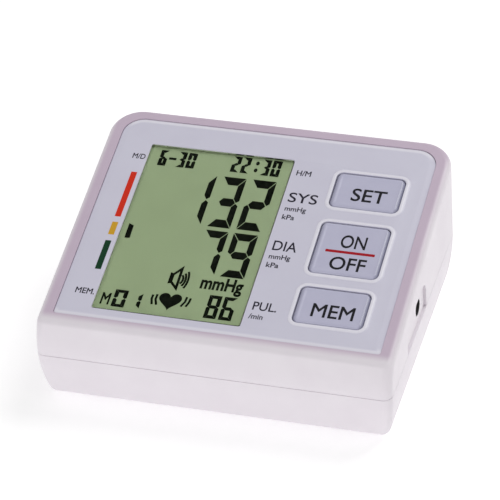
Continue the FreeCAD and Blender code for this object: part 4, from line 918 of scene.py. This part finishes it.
def soft_turn(start, end, steps=6):
    """A quarter of an ellipse that leaves start straight along n and reaches end flat: the inset goes as
    1 - cos a and the level as sin a."""
    a = np.radians(np.linspace(0, 90, steps))
    return start + np.column_stack((1 - np.cos(a), np.sin(a))) * np.subtract(end, start)


print("half way up a soft rise:", soft_rise((0, 0), (2, 1))[3])

# %% [markdown]
# ## The front panel
# The panel is one thin moulding let into the top. Its edge is bevelled all round, a soft ring stands up
# round each key, and the window sits in a sharp opening with barely broken edges. Cutting the openings out
# of a block would leave hard rims, so each opening is a profile of its own, and the flat top and the flat
# back are then filled between them.

# %% Panel sizes
PANEL = (-61.3, 61.3, 5.0, 104.6)
PANEL_CORNERS = (1.2, 8.0)
PANEL_BACK, SHOULDER, BEVEL = -1.4, -0.42, 2.3
BEVEL_END = [(-0.3, -0.045), (0.0, -0.012), (0.3, 0.0)]
WINDOW = (-48.15, 8.25, 9.65, 92.35)
WINDOW_CORNER = 0.8
KEYS = {
    "set": (*KEY_X, 71.4, 88.6),
    "power": (*KEY_X, 38.7, 63.7),
    "memory": (*KEY_X, 14.7, 31.9),
}
KEY_CORNER, KEY_GAP = 2.4, 0.2
RING_RISE, RING_TOP, RING_WIDTH, LIP = 1.05, 0.25, 1.9, 0.3
CREST_ASIDE, CREST_SWELL = 0.15, 0.02


def grown(limits, by):
    """Limits (x0, x1, s0, s1) moved outwards on all four sides."""
    x0, x1, s0, s1 = limits
    return x0 - by, x1 + by, s0 - by, s1 + by


ring_reach = KEY_GAP + RING_WIDTH
print("rings reach", round(ring_reach, 2), "mm past the keys")

# %% [markdown]
# The three profiles run from outside to inside: the panel's bevelled edge, the window's opening and the ring
# round a key, which rises softly, turns down at its lip and goes straight to the back.

# %% Panel
edge_profile = np.vstack(([(0, PANEL_BACK), (0, SHOULDER)], np.add(BEVEL_END, (BEVEL, PANEL_LEVEL))))
window_profile = np.vstack((soft_turn((LIP, PANEL_LEVEL - LIP), (0, PANEL_LEVEL))[::-1], [(LIP, PANEL_BACK)]))
crest = RING_WIDTH - LIP
ring_profile = np.vstack((soft_rise((0, PANEL_LEVEL), (RING_RISE, RING_TOP)),
                          [(crest - CREST_ASIDE, RING_TOP + CREST_SWELL)],
                          soft_turn((RING_WIDTH, RING_TOP - LIP), (crest, RING_TOP))[::-1],
                          [(RING_WIDTH, PANEL_BACK)]))

shell = Shell()
bottom, edge = shell.sweep(PANEL, PANEL_CORNERS, edge_profile)
openings = [shell.sweep(grown(WINDOW, LIP), [WINDOW_CORNER + LIP] * 2, window_profile)]
openings += [shell.sweep(grown(limits, ring_reach), [KEY_CORNER + ring_reach] * 2, ring_profile)
             for limits in KEYS.values()]
upper, lower = zip(*openings)
shell.fill(edge, upper)
shell.fill(bottom, lower, upwards=False)
panel = add_mesh("panel_moulding", to_slope(shell.points), shell.faces, FINISHES["panel_plate"],
                 "housing", crease=35)
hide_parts("front_panel")
print("panel faces:", len(shell.faces))

# %% [markdown]
# ## The keys
# Each key is a cushion with a flat middle. A lip behind the panel keeps it in, and a stem carries the press
# to its switch, so the piece is made whole, down to the end of the stem. A rounded block would have a full
# dome; on the real key the side turns over to a brim, and the face dips softly from there.

# %% Keys
LIP_BACK, LIP_FRONT, LIP_REACH = -2.55, -1.55, 1.0
STEM_RADIUS, STEM_END = 2.2, -6.5
SIDE_END = -1.1
BRIM, BRIM_LEVEL, BRIM_WIDTH, FLAT = 1.5, 0.4, 0.1, 2.6
cap_profile = np.vstack(([(-LIP_REACH, LIP_BACK), (-LIP_REACH, LIP_FRONT), (0, LIP_FRONT)],
                         soft_turn((0, SIDE_END), (BRIM, BRIM_LEVEL), 10),
                         soft_rise((BRIM + BRIM_WIDTH, BRIM_LEVEL), (FLAT, KEY_LEVEL))))
for name, limits in KEYS.items():
    shell = Shell()
    rear, top = shell.sweep(limits, [KEY_CORNER] * 2, cap_profile)
    x, s = (limits[0] + limits[1]) / 2, (limits[2] + limits[3]) / 2
    foot, root = shell.sweep(grown((x, x, s, s), STEM_RADIUS), [STEM_RADIUS] * 2,
                             [(0, STEM_END), (0, LIP_BACK)])
    shell.fill(top)
    shell.fill(rear, [root], upwards=False)
    shell.fill(foot, upwards=False)
    points = to_slope(shell.points)
    key = add_mesh(name + "_cap", points, shell.faces, FINISHES["key_cap"],
                   name + "_button", crease=35)
    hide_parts(name + "_key")
    low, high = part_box(name + "_key")
    print(key.name, "low", round(float(points[:, 2].min()), 5), "cad", round(low[2], 5))

# %% [markdown]
# ## A finish for every part
# The record says which slot each part belongs to. Each part keeps its mesh as it is and only gets a
# material, so a changed part keeps its finish.

# %% Give every part its finish
for part in frame["record"]["subparts"]:
    mesh = frame["nodes"][part["node"]].data
    mesh.materials.clear()
    mesh.materials.append(FINISHES[part["material_slot"]])

# %% [markdown]
